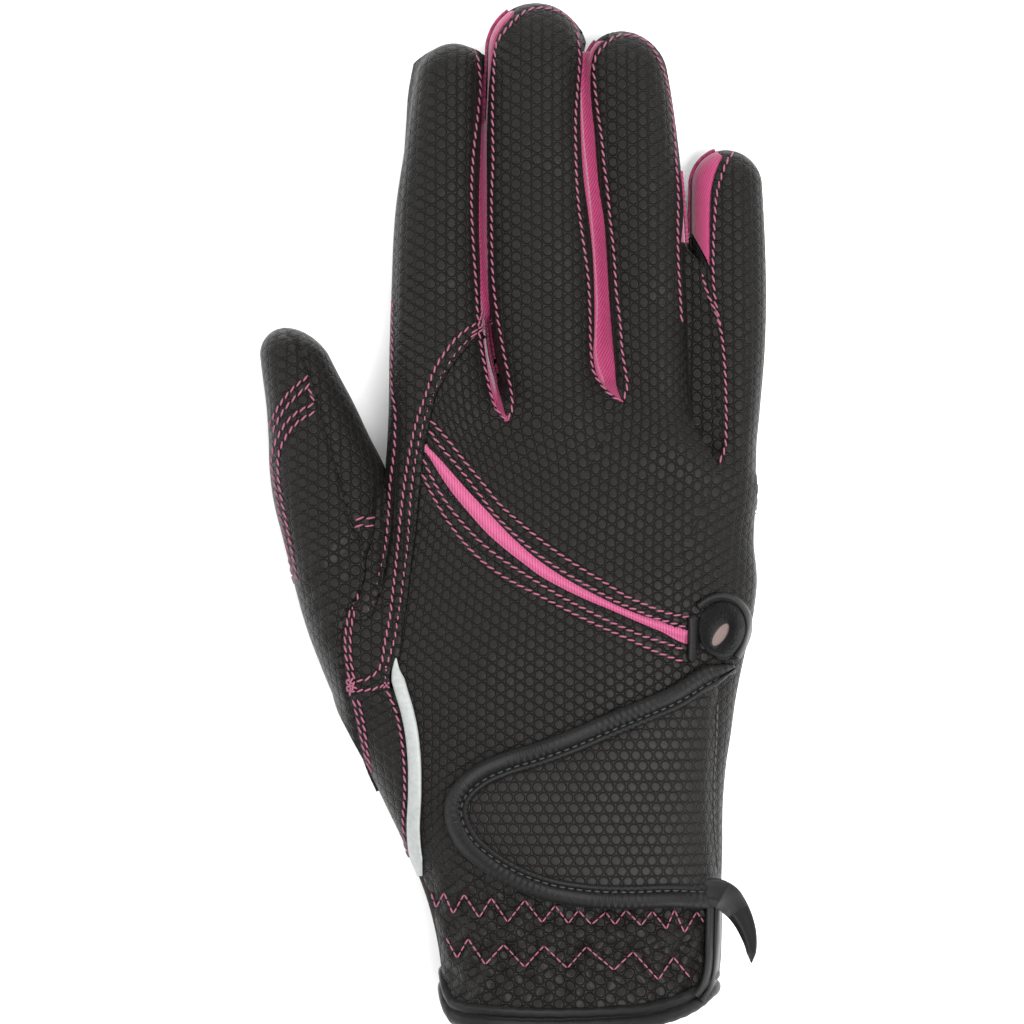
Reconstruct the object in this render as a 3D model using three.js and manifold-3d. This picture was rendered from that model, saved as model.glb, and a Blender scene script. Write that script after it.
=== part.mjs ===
// A right-hand riding glove, lying palm down with its fingers towards +Y and its thumb towards -X.
// The hand is a union of lofted tubes with a smaller union taken out of it; seams cut that shell into panels.
// The origin is the middle of the underside. Lengths are millimetres.

import * as THREE from "three";
import { mergeVertices } from "three/addons/utils/BufferGeometryUtils.js";
import Module from "manifold-3d";

const wasm = await Module();
wasm.setup();

// Hand: lengths along Y, widths along X, depths along Z
const PALM_LENGTH = 142.6; // cuff edge to the crotch between middle and ring finger
const PALM_DEPTH = 31;
const WRIST_WIDTH = 62;
const WRIST_DEPTH = 33;
const THUMB_LENGTH = 84;
const THUMB_WIDTH = 26.5;
const THUMB_DEPTH = 22;
const INDEX_LENGTH = 107.7;
const INDEX_WIDTH = 20.7;
const INDEX_DEPTH = 18.5;
const MIDDLE_LENGTH = 116.8;
const MIDDLE_WIDTH = 25.2;
const MIDDLE_DEPTH = 19.5;
const RING_LENGTH = 110.5;
const RING_WIDTH = 19.6;
const RING_DEPTH = 18;
const LITTLE_LENGTH = 83.7;
const LITTLE_WIDTH = 16.8;
const LITTLE_DEPTH = 15.5;
const FINGER_CLEARANCE = 0.5; // between two neighbouring fingers at their widest

// Leather, seams and trim
const WALL = 1.5;
const SEAM_GAP = 0.3; // between two panels that are sewn edge to edge
const LAY_GAP = 0.4; // between the leather and what lies on it
const SIDE_SEAM_HEIGHT = 10.8; // of the seam between palm and back, above the underside
const GUSSET_HEIGHT = 6; // of the thumb gusset's lower seam
const CUFF_BINDING_WIDTH = 5;
const CUFF_BINDING_THICK = 1.2;
const VENT_WIDTH = 2.2;
const PIPING_WIDTH = 2.9;
const PIPING_THICK = 1;
const STRAP_LENGTH = 60.3;
const STRAP_WIDTH = 56; // at its stitched end
const STRAP_THICK = 2;
const STRAP_BINDING_WIDTH = 5.2;
const STRAP_BINDING_THICK = 2.8;
const BAR_WIDTH = 2.5;
const BAR_THICK = 1.4;
const LOOP_LENGTH = 12;
const LOOP_WIDTH = 10.4;
const LOOP_THICK = 1.6;
const LOOP_HOLE_LENGTH = 5.6;
const LOOP_HOLE_WIDTH = 2.2;
const LOOP_HOLE_TILT = THREE.MathUtils.degToRad(35);
const LOOP_CLEARANCE = 0.85; // between the loop and the strap
const BAR_CLEARANCE = 2.6; // between the bar's foot and the strap
const TAIL_LENGTH = 15.8; // along the wrist
const TAIL_REACH = 7.9; // out from it
const TAIL_WIDTH = 9; // where it leaves the wrist
const TAIL_THICK = 2.2;

// Forms that follow the sizes above as shares
const FINGER_ROOT = 0.792; // of the palm's length, where the finger tubes start inside it
const THUMB_ROOT = 0.508; // of the palm's length
const THUMB_SPREAD = 0.674; // of the palm's width, from the middle line to the thumb's
const KNUCKLE_PEAK = 0.085; // of the palm's width: where the crotches lie furthest up
const INDEX_SIDE = 0.8; // of the index finger's half width: where its outer seam runs
const LITTLE_DROP = 0.245; // of the palm's length: how far the knuckle line falls towards the little finger
const INDEX_DROP = 0.07; // the same towards the index finger
const DROP_FROM = 0.6; // of the palm's length: the sections are straight below this
const SECTION_POWER = 2.4; // a section is a superellipse, a little squarer than an ellipse

const BLACK = 0x2b2a28;
const PINK = 0xd3417f;
const LEATHER = { color: BLACK, roughness: 0.62, metalness: 0 };
const KNIT = { color: PINK, roughness: 0.8, metalness: 0 };
const SATIN = { color: 0x1c1c1e, roughness: 0.4, metalness: 0 };
const SILVER = { color: 0xc9cecb, roughness: 0.35, metalness: 0.4 };

// left and right edges in shares of the width between wrist and palm, mix of that width and depth
const PALM_ROWS = [
  { at: 0, mix: 0, left: -0.475, right: 0.475, rise: 0.485, deep: 1 },
  { at: 0.129, mix: 0, left: -0.524, right: 0.51, rise: 0.485, deep: 0.98 },
  { at: 0.196, mix: 0, left: -0.56, right: 0.513, rise: 0.485, deep: 0.96 },
  { at: 0.271, mix: 0.25, left: -0.572, right: 0.477, rise: 0.485, deep: 0.97 },
  { at: 0.345, mix: 0.5, left: -0.597, right: 0.443, rise: 0.485, deep: 1 },
  { at: 0.454, mix: 0.85, left: -0.638, right: 0.423, rise: 0.487, deep: 1.03 },
  { at: 0.508, mix: 1, left: -0.657, right: 0.419, rise: 0.49, deep: 1.04 },
  { at: 0.568, mix: 1, left: -0.663, right: 0.439, rise: 0.49, deep: 1.03 },
  { at: 0.631, mix: 1, left: -0.638, right: 0.463, rise: 0.48, deep: 1.01 },
  { at: 0.7, mix: 1, left: -0.598, right: 0.477, rise: 0.47, deep: 0.97 },
  { at: 0.8, mix: 1, left: -0.542, right: 0.469, rise: 0.45, deep: 0.92 },
  { at: 0.918, mix: 1, left: -0.509, right: 0.479, rise: 0.43, deep: 0.83 },
  { at: 1, mix: 1, left: -0.504, right: 0.485, rise: 0.42, deep: 0.62 },
];

// lean: the tube's middle off its own line, wide: its width, both in shares of the finger's width
const FINGER_ROWS = {
  index: [
    { at: 0, lean: 0.02, wide: 1.3 },
    { at: 0.17, lean: 0.12, wide: 1.36 },
    { at: 0.27, lean: 0.062, wide: 1.21 },
    { at: 0.33, lean: 0.015, wide: 1.11 },
    { at: 0.46, lean: -0.01, wide: 1.02 },
    { at: 0.67, lean: 0, wide: 0.92 },
    { at: 0.9, lean: 0.095, wide: 0.75 },
    { at: 1, lean: 0.16, wide: 0.7 },
  ],
  middle: [
    { at: 0, lean: 0.165, wide: 1.14 },
    { at: 0.18, lean: 0.174, wide: 1.107 },
    { at: 0.25, lean: 0.13, wide: 0.978 },
    { at: 0.3, lean: 0.06, wide: 0.942 },
    { at: 0.42, lean: 0.01, wide: 1.004 },
    { at: 0.62, lean: -0.043, wide: 0.978 },
    { at: 0.85, lean: -0.074, wide: 0.87 },
    { at: 1, lean: -0.065, wide: 0.86 },
  ],
  ring: [
    { at: 0, lean: 0.157, wide: 1.24 },
    { at: 0.13, lean: 0.192, wide: 1.264 },
    { at: 0.18, lean: 0.111, wide: 1.103 },
    { at: 0.265, lean: 0.079, wide: 0.994 },
    { at: 0.45, lean: 0.018, wide: 0.998 },
    { at: 0.65, lean: -0.058, wide: 1.015 },
    { at: 0.84, lean: -0.167, wide: 1.005 },
    { at: 1, lean: -0.265, wide: 0.89 },
  ],
  little: [
    { at: 0, lean: -0.059, wide: 0.83 },
    { at: 0.15, lean: 0.021, wide: 0.723 },
    { at: 0.245, lean: 0.051, wide: 0.716 },
    { at: 0.32, lean: 0.035, wide: 0.817 },
    { at: 0.46, lean: 0.041, wide: 0.92 },
    { at: 0.59, lean: 0.028, wide: 0.985 },
    { at: 0.81, lean: -0.003, wide: 0.997 },
    { at: 1, lean: -0.019, wide: 0.93 },
  ],
  thumb: [
    { at: 0, lean: 0.466, wide: 0.805 },
    { at: 0.195, lean: 0.267, wide: 0.898 },
    { at: 0.364, lean: 0.144, wide: 0.941 },
    { at: 0.532, lean: 0.042, wide: 1.008 },
    { at: 0.612, lean: 0, wide: 0.992 },
    { at: 0.711, lean: -0.083, wide: 0.852 },
    { at: 0.786, lean: -0.147, wide: 0.758 },
    { at: 0.898, lean: -0.263, wide: 0.619 },
    { at: 1, lean: -0.36, wide: 0.5 },
  ],
};

// A finger's side view: middle height and depth in shares of its depth
const FINGER_SIDE = [
  { at: 0, rise: 0.7, deep: 1.3 },
  { at: 0.2, rise: 0.7, deep: 1.25 },
  { at: 0.46, rise: 0.66, deep: 1.04 },
  { at: 0.67, rise: 0.58, deep: 0.98 },
  { at: 0.9, rise: 0.46, deep: 0.9 },
  { at: 1, rise: 0.42, deep: 0.86 },
];

const THUMB_SIDE = [
  { at: 0, rise: 0.63, deep: 1.26 },
  { at: 0.3, rise: 0.59, deep: 1.18 },
  { at: 0.6, rise: 0.52, deep: 1.06 },
  { at: 0.8, rise: 0.46, deep: 0.94 },
  { at: 1, rise: 0.39, deep: 0.8 },
];

// Seams over the back: across in shares of the palm's width, up in shares of its length
const ARC_FROM = 0.45; // of the index finger's length: where the arc leaves its seam
const ARC_SEAM = [
  { across: -0.332, up: 1.068 },
  { across: -0.38, up: 1.036 },
  { across: -0.42, up: 0.965 },
  { across: -0.45, up: 0.902 },
  { across: -0.467, up: 0.82 },
  { across: -0.485, up: 0.729 },
  { across: -0.495, up: 0.666 },
  { across: -0.517, up: 0.563 },
];
const INDEX_FOOT_SEAM = [
  { across: -0.517, up: 0.563 },
  { across: -0.524, up: 0.534 },
  { across: -0.574, up: 0.522 },
  { across: -0.63, up: 0.528 },
];
const SIDE_SEAM = [
  { across: -0.517, up: 0.563 },
  { across: -0.487, up: 0.52 },
  { across: -0.461, up: 0.468 },
  { across: -0.444, up: 0.405 },
  { across: -0.442, up: 0.334 },
  { across: -0.444, up: 0.271 },
  { across: -0.47, up: 0.2 },
];
const FLAP_SEAM = [
  { across: -0.487, up: 0.918 },
  { across: -0.496, up: 0.855 },
  { across: -0.514, up: 0.745 },
  { across: -0.533, up: 0.696 },
  { across: -0.552, up: 0.65 },
  { across: -0.573, up: 0.631 },
  { across: -0.62, up: 0.645 },
];
const THUMB_EDGE = [
  { across: -0.538, up: 0.902 },
  { across: -0.533, up: 0.855 },
  { across: -0.544, up: 0.793 },
  { across: -0.565, up: 0.748 },
  { across: -0.576, up: 0.705 },
  { across: -0.595, up: 0.662 },
  { across: -0.611, up: 0.618 },
  { across: -0.621, up: 0.571 },
  { across: -0.606, up: 0.508 },
  { across: -0.581, up: 0.437 },
  { across: -0.555, up: 0.366 },
];
const THUMB_SEAM = [
  { across: -0.807, up: 1.11 },
  { across: -0.772, up: 1.079 },
  { across: -0.732, up: 1.038 },
  { across: -0.705, up: 0.986 },
  { across: -0.67, up: 0.912 },
  { across: -0.63, up: 0.827 },
  { across: -0.55, up: 0.735 },
];
const VENT_ROWS = [
  { across: -0.405, up: 0.9, wide: 0.3 },
  { across: -0.359, up: 0.864, wide: 0.75 },
  { across: -0.302, up: 0.825, wide: 1 },
  { across: -0.246, up: 0.789, wide: 0.95 },
  { across: -0.176, up: 0.749, wide: 0.8 },
  { across: -0.082, up: 0.708, wide: 0.65 },
  { across: 0.031, up: 0.672, wide: 0.65 },
  { across: 0.152, up: 0.642, wide: 0.75 },
  { across: 0.251, up: 0.62, wide: 0.9 },
  { across: 0.299, up: 0.61, wide: 0.9 },
];
const VENT_START = { across: -0.48, up: 0.945 };
const SLIT_END = { across: 0.56, up: 0.6 };

// Forks: off is measured from the line between two fingers, in shares of the outer one's width.
// The point's height is a share of the lower foot's; a seam runs out to a share of its finger's half width.
const FORK_POINTS = [
  { off: 0.193, up: 0.877 },
  { off: 0.223, up: 0.916 },
  { off: 0.376, up: 0.645 },
];
const FORK_SEAMS = [
  { thumbward: { off: 0.103, at: 0.236, out: 0.8 }, outward: { off: 0.229, at: 0.2173, out: 0.8 } },
  { thumbward: { off: 0.095, at: 0.2505, out: 0.8 }, outward: { off: 0.279, at: 0.2648, out: 0.8 } },
  { thumbward: { off: 0.107, at: 0.172, out: 0.8 }, outward: { off: 0.456, at: 0.227, out: 0.5 } },
];
// Lower edge of the knit beside the little finger: shares of its length, and of its half width
const KNIT_EDGE = [
  { at: 0.65, out: 0.72 },
  { at: 0.59, out: 0.42 },
];
const KNIT_FROM = 0.78;
const KNIT_TURN = 0.72;
const PIPING_LINE = [
  { across: -0.49, up: 0.574 },
  { across: -0.49, up: 0.547 },
  { across: -0.469, up: 0.508 },
  { across: -0.45, up: 0.464 },
  { across: -0.439, up: 0.413 },
  { across: -0.439, up: 0.35 },
  { across: -0.443, up: 0.29 },
  { across: -0.434, up: 0.255 },
];

// The strap from its round end to its stitched one, in shares of its length and width
const STRAP_START = { across: -0.361, up: 0.345 };
const STRAP_ROWS = [
  { at: 0, middle: 0, wide: 0.02 },
  { at: 0.022, middle: -0.022, wide: 0.19 },
  { at: 0.097, middle: -0.032, wide: 0.37 },
  { at: 0.209, middle: -0.042, wide: 0.51 },
  { at: 0.34, middle: -0.05, wide: 0.62 },
  { at: 0.511, middle: -0.034, wide: 0.735 },
  { at: 0.683, middle: -0.002, wide: 0.807 },
  { at: 0.84, middle: 0.038, wide: 0.88 },
  { at: 1, middle: 0.086, wide: 1 },
];
const LOOP_ACROSS = 0.383; // of the palm's width
const BAR_TOP = { across: 0.302, up: 0.643 };
const BAR_LEAN = 0.003; // of the palm's width, from its top to its foot

// The tail's middle line, in shares of its length off the wrist's edge, and its width
const TAIL_UP = 0.205; // of the palm's length
const TAIL_ROWS = [
  { out: 0.03, down: 0, wide: 0.9 },
  { out: 0.28, down: 0.03, wide: 1 },
  { out: 0.52, down: 0.2, wide: 0.85 },
  { out: 0.7, down: 0.42, wide: 0.6 },
  { out: 0.84, down: 0.7, wide: 0.36 },
  { out: 0.9, down: 1, wide: 0.18 },
];

const FINGER_SIZES = [
  { name: "index", length: INDEX_LENGTH, width: INDEX_WIDTH, depth: INDEX_DEPTH },
  { name: "middle", length: MIDDLE_LENGTH, width: MIDDLE_WIDTH, depth: MIDDLE_DEPTH },
  { name: "ring", length: RING_LENGTH, width: RING_WIDTH, depth: RING_DEPTH },
  { name: "little", length: LITTLE_LENGTH, width: LITTLE_WIDTH, depth: LITTLE_DEPTH },
];
const PALM_WIDTH = FINGER_SIZES.reduce(
  (sum, finger) => sum + finger.width + FINGER_CLEARANCE,
  -FINGER_CLEARANCE,
);

// Value of a named column at a share of the way, straight between the rows
function columnAt(rows, column, at) {
  const next = rows.findIndex((row) => row.at > at);
  if (next === 0) return rows[0][column];
  if (next < 0) return rows[rows.length - 1][column];
  const [low, high] = [rows[next - 1], rows[next]];
  return THREE.MathUtils.mapLinear(at, low.at, high.at, low[column], high[column]);
}

// The leather stands off the underside where its binding passes below it, and lies flat further up
const CUFF_LIFT = CUFF_BINDING_THICK + LAY_GAP;
const LIFTED_TO = 2; // binding widths above the cuff's edge
const FLAT_FROM = 3;

// The palm as a tube: its section at a share of its length, and the bend of its stations
const palm = {
  from: 0,
  length: PALM_LENGTH,
  tip: 0,
  section(at) {
    const mix = columnAt(PALM_ROWS, "mix", at);
    const width = WRIST_WIDTH + (PALM_WIDTH - WRIST_WIDTH) * mix;
    const depth = WRIST_DEPTH + (PALM_DEPTH - WRIST_DEPTH) * mix;
    const left = width * columnAt(PALM_ROWS, "left", at);
    const right = width * columnAt(PALM_ROWS, "right", at);
    const past = (at * PALM_LENGTH) / CUFF_BINDING_WIDTH;
    return {
      middle: (left + right) / 2,
      half: (right - left) / 2,
      height: depth * columnAt(PALM_ROWS, "rise", at),
      deep: (depth * columnAt(PALM_ROWS, "deep", at)) / 2,
      floor: CUFF_LIFT * THREE.MathUtils.clamp((FLAT_FROM - past) / (FLAT_FROM - LIFTED_TO), 0, 1),
    };
  },
  bend(at, x) {
    const off = (x - KNUCKLE_PEAK * PALM_WIDTH) / (PALM_WIDTH / 2);
    const drop = off > 0 ? LITTLE_DROP : INDEX_DROP;
    const share = Math.max(0, (at - DROP_FROM) / (1 - DROP_FROM));
    return -drop * PALM_LENGTH * off * off * share * share;
  },
};

// A finger or the thumb as a tube whose tip is rounded over its half width
function fingerTube({ name, length, width, depth }, line, from, side) {
  const rows = FINGER_ROWS[name];
  return {
    from,
    length,
    width,
    edge: line + width / 2,
    stations: rows.map((row) => row.at * length),
    tip: (width * rows[rows.length - 1].wide) / 2,
    section(at) {
      return {
        middle: line + width * columnAt(rows, "lean", at),
        half: (width * columnAt(rows, "wide", at)) / 2,
        height: depth * columnAt(side, "rise", at),
        deep: (depth * columnAt(side, "deep", at)) / 2,
        floor: 0,
      };
    },
    bend: () => 0,
  };
}

const fingers = [];
FINGER_SIZES.reduce((left, size) => {
  const line = left + size.width / 2;
  fingers.push(fingerTube(size, line, FINGER_ROOT * PALM_LENGTH, FINGER_SIDE));
  return left + size.width + FINGER_CLEARANCE;
}, -PALM_WIDTH / 2);

const thumb = fingerTube(
  { name: "thumb", length: THUMB_LENGTH, width: THUMB_WIDTH, depth: THUMB_DEPTH },
  -THUMB_SPREAD * PALM_WIDTH,
  THUMB_ROOT * PALM_LENGTH,
  THUMB_SIDE,
);
const digits = [...fingers, thumb];

// A manifold solid of a closed geometry, turned the right way out
function solidOf(geometry) {
  const bare = geometry.clone();
  bare.deleteAttribute("normal");
  bare.deleteAttribute("uv");
  const merged = mergeVertices(bare, 1e-4);
  const vertProperties = merged.attributes.position.array;
  const triVerts = new Uint32Array(merged.index.array);
  const made = new wasm.Manifold(new wasm.Mesh({ numProp: 3, vertProperties, triVerts }));
  if (made.volume() > 0) return made;
  triVerts.reverse();
  return new wasm.Manifold(new wasm.Mesh({ numProp: 3, vertProperties, triVerts }));
}

// Faces across one ring, in a zigzag from its first and last points inwards
function capFaces(start, count) {
  const faces = [];
  for (let low = 0, high = count - 1; high - low > 1; ) {
    faces.push([start + low, start + low + 1, start + high]);
    low += 1;
    if (high - low > 1) faces.push([start + low, start + high - 1, start + high]);
    high -= 1;
  }
  return faces;
}

// A closed solid through rings of equal numbers of points
function loftSolid(rings, closed = false) {
  const count = rings[0].length;
  const faces = [];
  const last = closed ? rings.length : rings.length - 1;
  for (let ring = 0; ring < last; ring += 1) {
    const here = ring * count;
    const next = ((ring + 1) % rings.length) * count;
    for (let k = 0; k < count; k += 1) {
      const side = (k + 1) % count;
      faces.push([here + k, here + side, next + side], [here + k, next + side, next + k]);
    }
  }
  if (!closed) {
    const start = capFaces(0, count).map(([i, j, k]) => [i, k, j]);
    faces.push(...start, ...capFaces((rings.length - 1) * count, count));
  }
  const geometry = new THREE.BufferGeometry().setFromPoints(rings.flat());
  geometry.setIndex(faces.flat());
  return solidOf(geometry);
}

// How much of its full section a tube has at a distance below its end
function tipShare(distance, tip) {
  if (tip <= 0 || distance >= tip) return 1;
  return Math.sqrt(1 - (1 - Math.max(distance, 0) / tip) ** 2);
}

// One ring of a tube: a superellipse, shrunk by inset and cut flat at the underside
function ringOf(tube, at, share, inset, around) {
  const { middle, half, height, deep, floor } = tube.section(at);
  const width = (half - inset) * share;
  const depth = (deep - inset) * share;
  const ring = [];
  for (let k = 0; k < around; k += 1) {
    const angle = (2 * Math.PI * (k + 0.5)) / around;
    const c = Math.cos(angle);
    const s = Math.sin(angle);
    const x = middle + width * Math.sign(c) * Math.abs(c) ** (2 / SECTION_POWER);
    const z = height + depth * Math.sign(s) * Math.abs(s) ** (2 / SECTION_POWER);
    const y = at * tube.length + tube.from + tube.bend(at, x);
    ring.push(new THREE.Vector3(x, y, Math.max(z, floor + inset)));
  }
  return ring;
}

const evenly = (from, to, steps) =>
  Array.from({ length: steps + 1 }, (_, k) => from + ((to - from) * k) / steps);

const TIP_TURNS = [0, 35, 62, 82].map(THREE.MathUtils.degToRad);

// A finger's solid: inset is 0 for the outside and the wall for the inside
function fingerSolid(tube, inset, around) {
  const end = tube.length - inset;
  const round = tube.tip - inset;
  const shaft = tube.stations.filter((y) => y > inset && y < tube.length - tube.tip);
  const rings = [inset, ...shaft].map((y) => ringOf(tube, y / tube.length, 1, inset, around));
  TIP_TURNS.forEach((turn) => {
    const y = end - round + round * Math.sin(turn);
    rings.push(ringOf(tube, y / tube.length, Math.cos(turn), inset, around));
  });
  return loftSolid(rings);
}

// Straight steps that each curved line is drawn with
const SEAM_STEPS = { arc: 7, flap: 6, foot: 4, side: 5, thumb: 8, gusset: 5, vent: 8 };
const TRIM_STEPS = { piping: 12, bar: 5, strap: 8, loop: 16 };

const palmSolid = (stations, inset, around) =>
  loftSolid(stations.map((y) => ringOf(palm, y / palm.length, 1, inset, around)));

// Height of the outside above a place
function topAt(x, y) {
  let top = 0;
  [palm, ...digits].forEach((tube) => {
    const start = (y - tube.from) / tube.length;
    if (start < 0 || start > 1) return;
    const at = (y - tube.from - tube.bend(start, x)) / tube.length;
    if (at > 1) return;
    const { middle, half, height, deep } = tube.section(at);
    const share = tipShare((1 - at) * tube.length, tube.tip);
    const u = Math.abs(x - middle) / (half * share);
    if (u >= 1) return;
    const lift = (1 - u ** SECTION_POWER) ** (1 / SECTION_POWER);
    top = Math.max(top, height + deep * share * lift);
  });
  return top;
}

// A point at a lift above the palm's back, measured square to it; places past its edge stay on the edge
const EDGE_SHARE = 0.98; // of the palm's half width
const SLOPE_STEP = 0.3; // over which the slope is taken
function over(place, lift) {
  const { middle, half } = palm.section(place.y / palm.length);
  const reach = EDGE_SHARE * half - SLOPE_STEP;
  const x = THREE.MathUtils.clamp(place.x, middle - reach, middle + reach);
  const rise = (dx, dy) => topAt(x + dx, place.y + dy);
  const slopeX = (rise(SLOPE_STEP, 0) - rise(-SLOPE_STEP, 0)) / (2 * SLOPE_STEP);
  const slopeY = (rise(0, SLOPE_STEP) - rise(0, -SLOPE_STEP)) / (2 * SLOPE_STEP);
  const normal = new THREE.Vector3(-slopeX, -slopeY, 1).normalize();
  return new THREE.Vector3(x, place.y, rise(0, 0)).addScaledVector(normal, lift);
}

const placeOf = ({ across, up }) => new THREE.Vector2(across * PALM_WIDTH, up * PALM_LENGTH);

const curveOf = (rows, points) => new THREE.SplineCurve(rows.map(placeOf)).getPoints(points);

// A place on a finger's seam, side -1 towards the thumb and 1 away from it
function fingerSeam(tube, side, share, at) {
  const { middle, half } = tube.section(at);
  return new THREE.Vector2(middle + side * share * half, tube.from + at * tube.length);
}

const SEAM_STATIONS = [0.27, 0.45, 0.72, 1.03];

const seamUp = (tube, side, share) =>
  SEAM_STATIONS.map((at) => fingerSeam(tube, side, share, at));

// Places at half a width to each side of a line
function sidesOf(line, widthAt) {
  return [1, -1].map((side) =>
    line.map((point, i) => {
      const before = line[Math.max(i - 1, 0)];
      const after = line[Math.min(i + 1, line.length - 1)];
      const along = after.clone().sub(before).normalize();
      const reach = (side * widthAt(i / (line.length - 1))) / 2;
      return new THREE.Vector2(-along.y, along.x).multiplyScalar(reach).add(point);
    }),
  );
}

const SKY = 2 * Math.max(PALM_DEPTH, WRIST_DEPTH); // where it ends, above it
const BELOW = -1; // where a prism starts, under the glove

// An upright prism over an outline, from one height to another
function prism(outline, low = BELOW, high = SKY) {
  const depth = high - low;
  const shape = new THREE.Shape(outline);
  const geometry = new THREE.ExtrudeGeometry(shape, { depth, bevelEnabled: false, steps: 1 });
  geometry.translate(0, 0, low);
  return solidOf(geometry);
}

const joined = (solids) => solids.reduce((sum, solid) => sum.add(solid));

// The narrow cut that a seam leaves between two panels: a straight slot for each stretch of its line
function kerf(line, low = BELOW) {
  const slots = line.slice(1).map((end, i) => {
    const start = line[i];
    const along = end.clone().sub(start).setLength(SEAM_GAP / 2);
    const aside = new THREE.Vector2(-along.y, along.x);
    const corner = (place, forward, side) =>
      place.clone().addScaledVector(along, forward).addScaledVector(aside, side);
    return prism([corner(start, -1, -1), corner(end, 1, -1), corner(end, 1, 1), corner(start, -1, 1)], low);
  });
  return joined(slots);
}

// The hollow shell of the hand, open at the cuff
const CUFF_END = CUFF_BINDING_THICK + SEAM_GAP; // where the leather ends inside its binding
const liftedTo = LIFTED_TO * CUFF_BINDING_WIDTH;
const flatFrom = FLAT_FROM * CUFF_BINDING_WIDTH;
const OUTSIDE_AROUND = { palm: 26, finger: 12 };
const INSIDE_AROUND = { palm: 18, finger: 8 };
const palmRows = PALM_ROWS.map((row) => row.at * PALM_LENGTH).filter((y) => y > flatFrom);
const outsideStations = [CUFF_END, liftedTo, flatFrom, ...palmRows];
const insideStations = [
  -CUFF_BINDING_WIDTH,
  0,
  liftedTo,
  flatFrom,
  ...palmRows.slice(0, -1),
  PALM_LENGTH - WALL,
];
const outside = joined([
  palmSolid(outsideStations, 0, OUTSIDE_AROUND.palm),
  ...digits.map((tube) => fingerSolid(tube, 0, OUTSIDE_AROUND.finger)),
]);
const inside = joined([
  palmSolid(insideStations, WALL, INSIDE_AROUND.palm),
  ...digits.map((tube) => fingerSolid(tube, WALL, INSIDE_AROUND.finger)),
]);
const shell = outside.subtract(inside);

// Places well outside the glove, for outlines that close round it
const FAR = 2 * PALM_LENGTH;
const FAR_CORNERS = {
  lowLeft: new THREE.Vector2(-FAR, -FAR),
  lowRight: new THREE.Vector2(FAR, -FAR),
  highRight: new THREE.Vector2(FAR, FAR),
  highLeft: new THREE.Vector2(-FAR, FAR),
};
const farLeft = (line) => new THREE.Vector2(-FAR, line[line.length - 1].y);
const farRight = (line) => new THREE.Vector2(FAR, line[line.length - 1].y);
const farAbove = (line) => new THREE.Vector2(line[0].x, FAR);

// Seam lines
const forkLines = FORK_SEAMS.map(({ thumbward, outward }, i) => {
  const [near, away] = [fingers[i], fingers[i + 1]];
  const placeAt = (off, height) =>
    new THREE.Vector2(near.edge + FINGER_CLEARANCE / 2 + off * away.width, near.from + height);
  const heights = [thumbward.at * near.length, outward.at * away.length];
  const point = placeAt(FORK_POINTS[i].off, FORK_POINTS[i].up * Math.min(...heights));
  return [
    [point, placeAt(thumbward.off, heights[0]), ...seamUp(near, 1, thumbward.out)],
    [point, placeAt(outward.off, heights[1]), ...seamUp(away, -1, outward.out)],
  ];
});
const [index] = fingers;
const indexOut = FORK_SEAMS[0].thumbward.out;
const arcLine = [fingerSeam(index, 1, indexOut, ARC_FROM), ...curveOf(ARC_SEAM, SEAM_STEPS.arc)];
const indexLine = [...seamUp(index, -1, INDEX_SIDE).reverse(), ...curveOf(FLAP_SEAM, SEAM_STEPS.flap)];
const footLine = curveOf(INDEX_FOOT_SEAM, SEAM_STEPS.foot);
const sideLine = curveOf(SIDE_SEAM, SEAM_STEPS.side);
const thumbLine = curveOf(THUMB_EDGE, SEAM_STEPS.thumb);
const gussetLine = curveOf(THUMB_SEAM, SEAM_STEPS.gusset);
const [, , ring, little] = fingers;
const betweenAt = (at) => {
  const inner = fingerSeam(little, -1, 1, at);
  const outer = fingerSeam(ring, 1, 1, (inner.y - ring.from) / ring.length);
  return inner.lerp(outer, 0.5);
};
const knitLine = [
  betweenAt(KNIT_FROM),
  betweenAt(KNIT_TURN),
  ...KNIT_EDGE.map(({ at, out }) => fingerSeam(little, -1, out, at)),
];
const ventLine = curveOf(VENT_ROWS, SEAM_STEPS.vent);
const ventWidth = (share) => {
  const rows = VENT_ROWS.map((row, i) => ({ at: i / (VENT_ROWS.length - 1), wide: row.wide }));
  return VENT_WIDTH * columnAt(rows, "wide", share);
};
const [ventAbove, ventBelow] = sidesOf(ventLine, ventWidth);
const ventStart = placeOf(VENT_START);
const slitEnd = placeOf(SLIT_END);
const ventTip = ventLine[0];
const ventEnd = ventLine[ventLine.length - 1];

const indexRight = seamUp(index, 1, indexOut).reverse().filter((place) => place.y > arcLine[0].y);

// Outlines of all that lies to the left or right of a line running downwards, or covers the whole glove
const leftOf = (line) => [...line, farLeft(line), FAR_CORNERS.highLeft, farAbove(line)];
const rightOf = (line) => [...line, farRight(line), FAR_CORNERS.highRight, farAbove(line)];
const everywhere = Object.values(FAR_CORNERS);

// Regions of the back, each an upright prism whose edges run inside the seam cuts
const region = {
  thumb: prism(leftOf(thumbLine)),
  gusset: prism(rightOf(gussetLine), GUSSET_HEIGHT),
  indexSide: prism(leftOf(indexLine)),
  index: prism(leftOf([...indexRight, ...arcLine, ...footLine.slice(1)])),
  side: prism(leftOf(sideLine)),
  vent: prism([...ventAbove, ...ventBelow.slice().reverse()]),
  knuckles: prism([
    ...rightOf([ventStart, ...ventLine, slitEnd]).slice(0, -1),
    FAR_CORNERS.highLeft,
    farLeft([ventStart]),
  ]),
  littleKnit: prism(rightOf(knitLine)),
};
const forks = forkLines.map(([near, away]) => prism([...near, ...away.slice(1).reverse()]));

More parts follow.
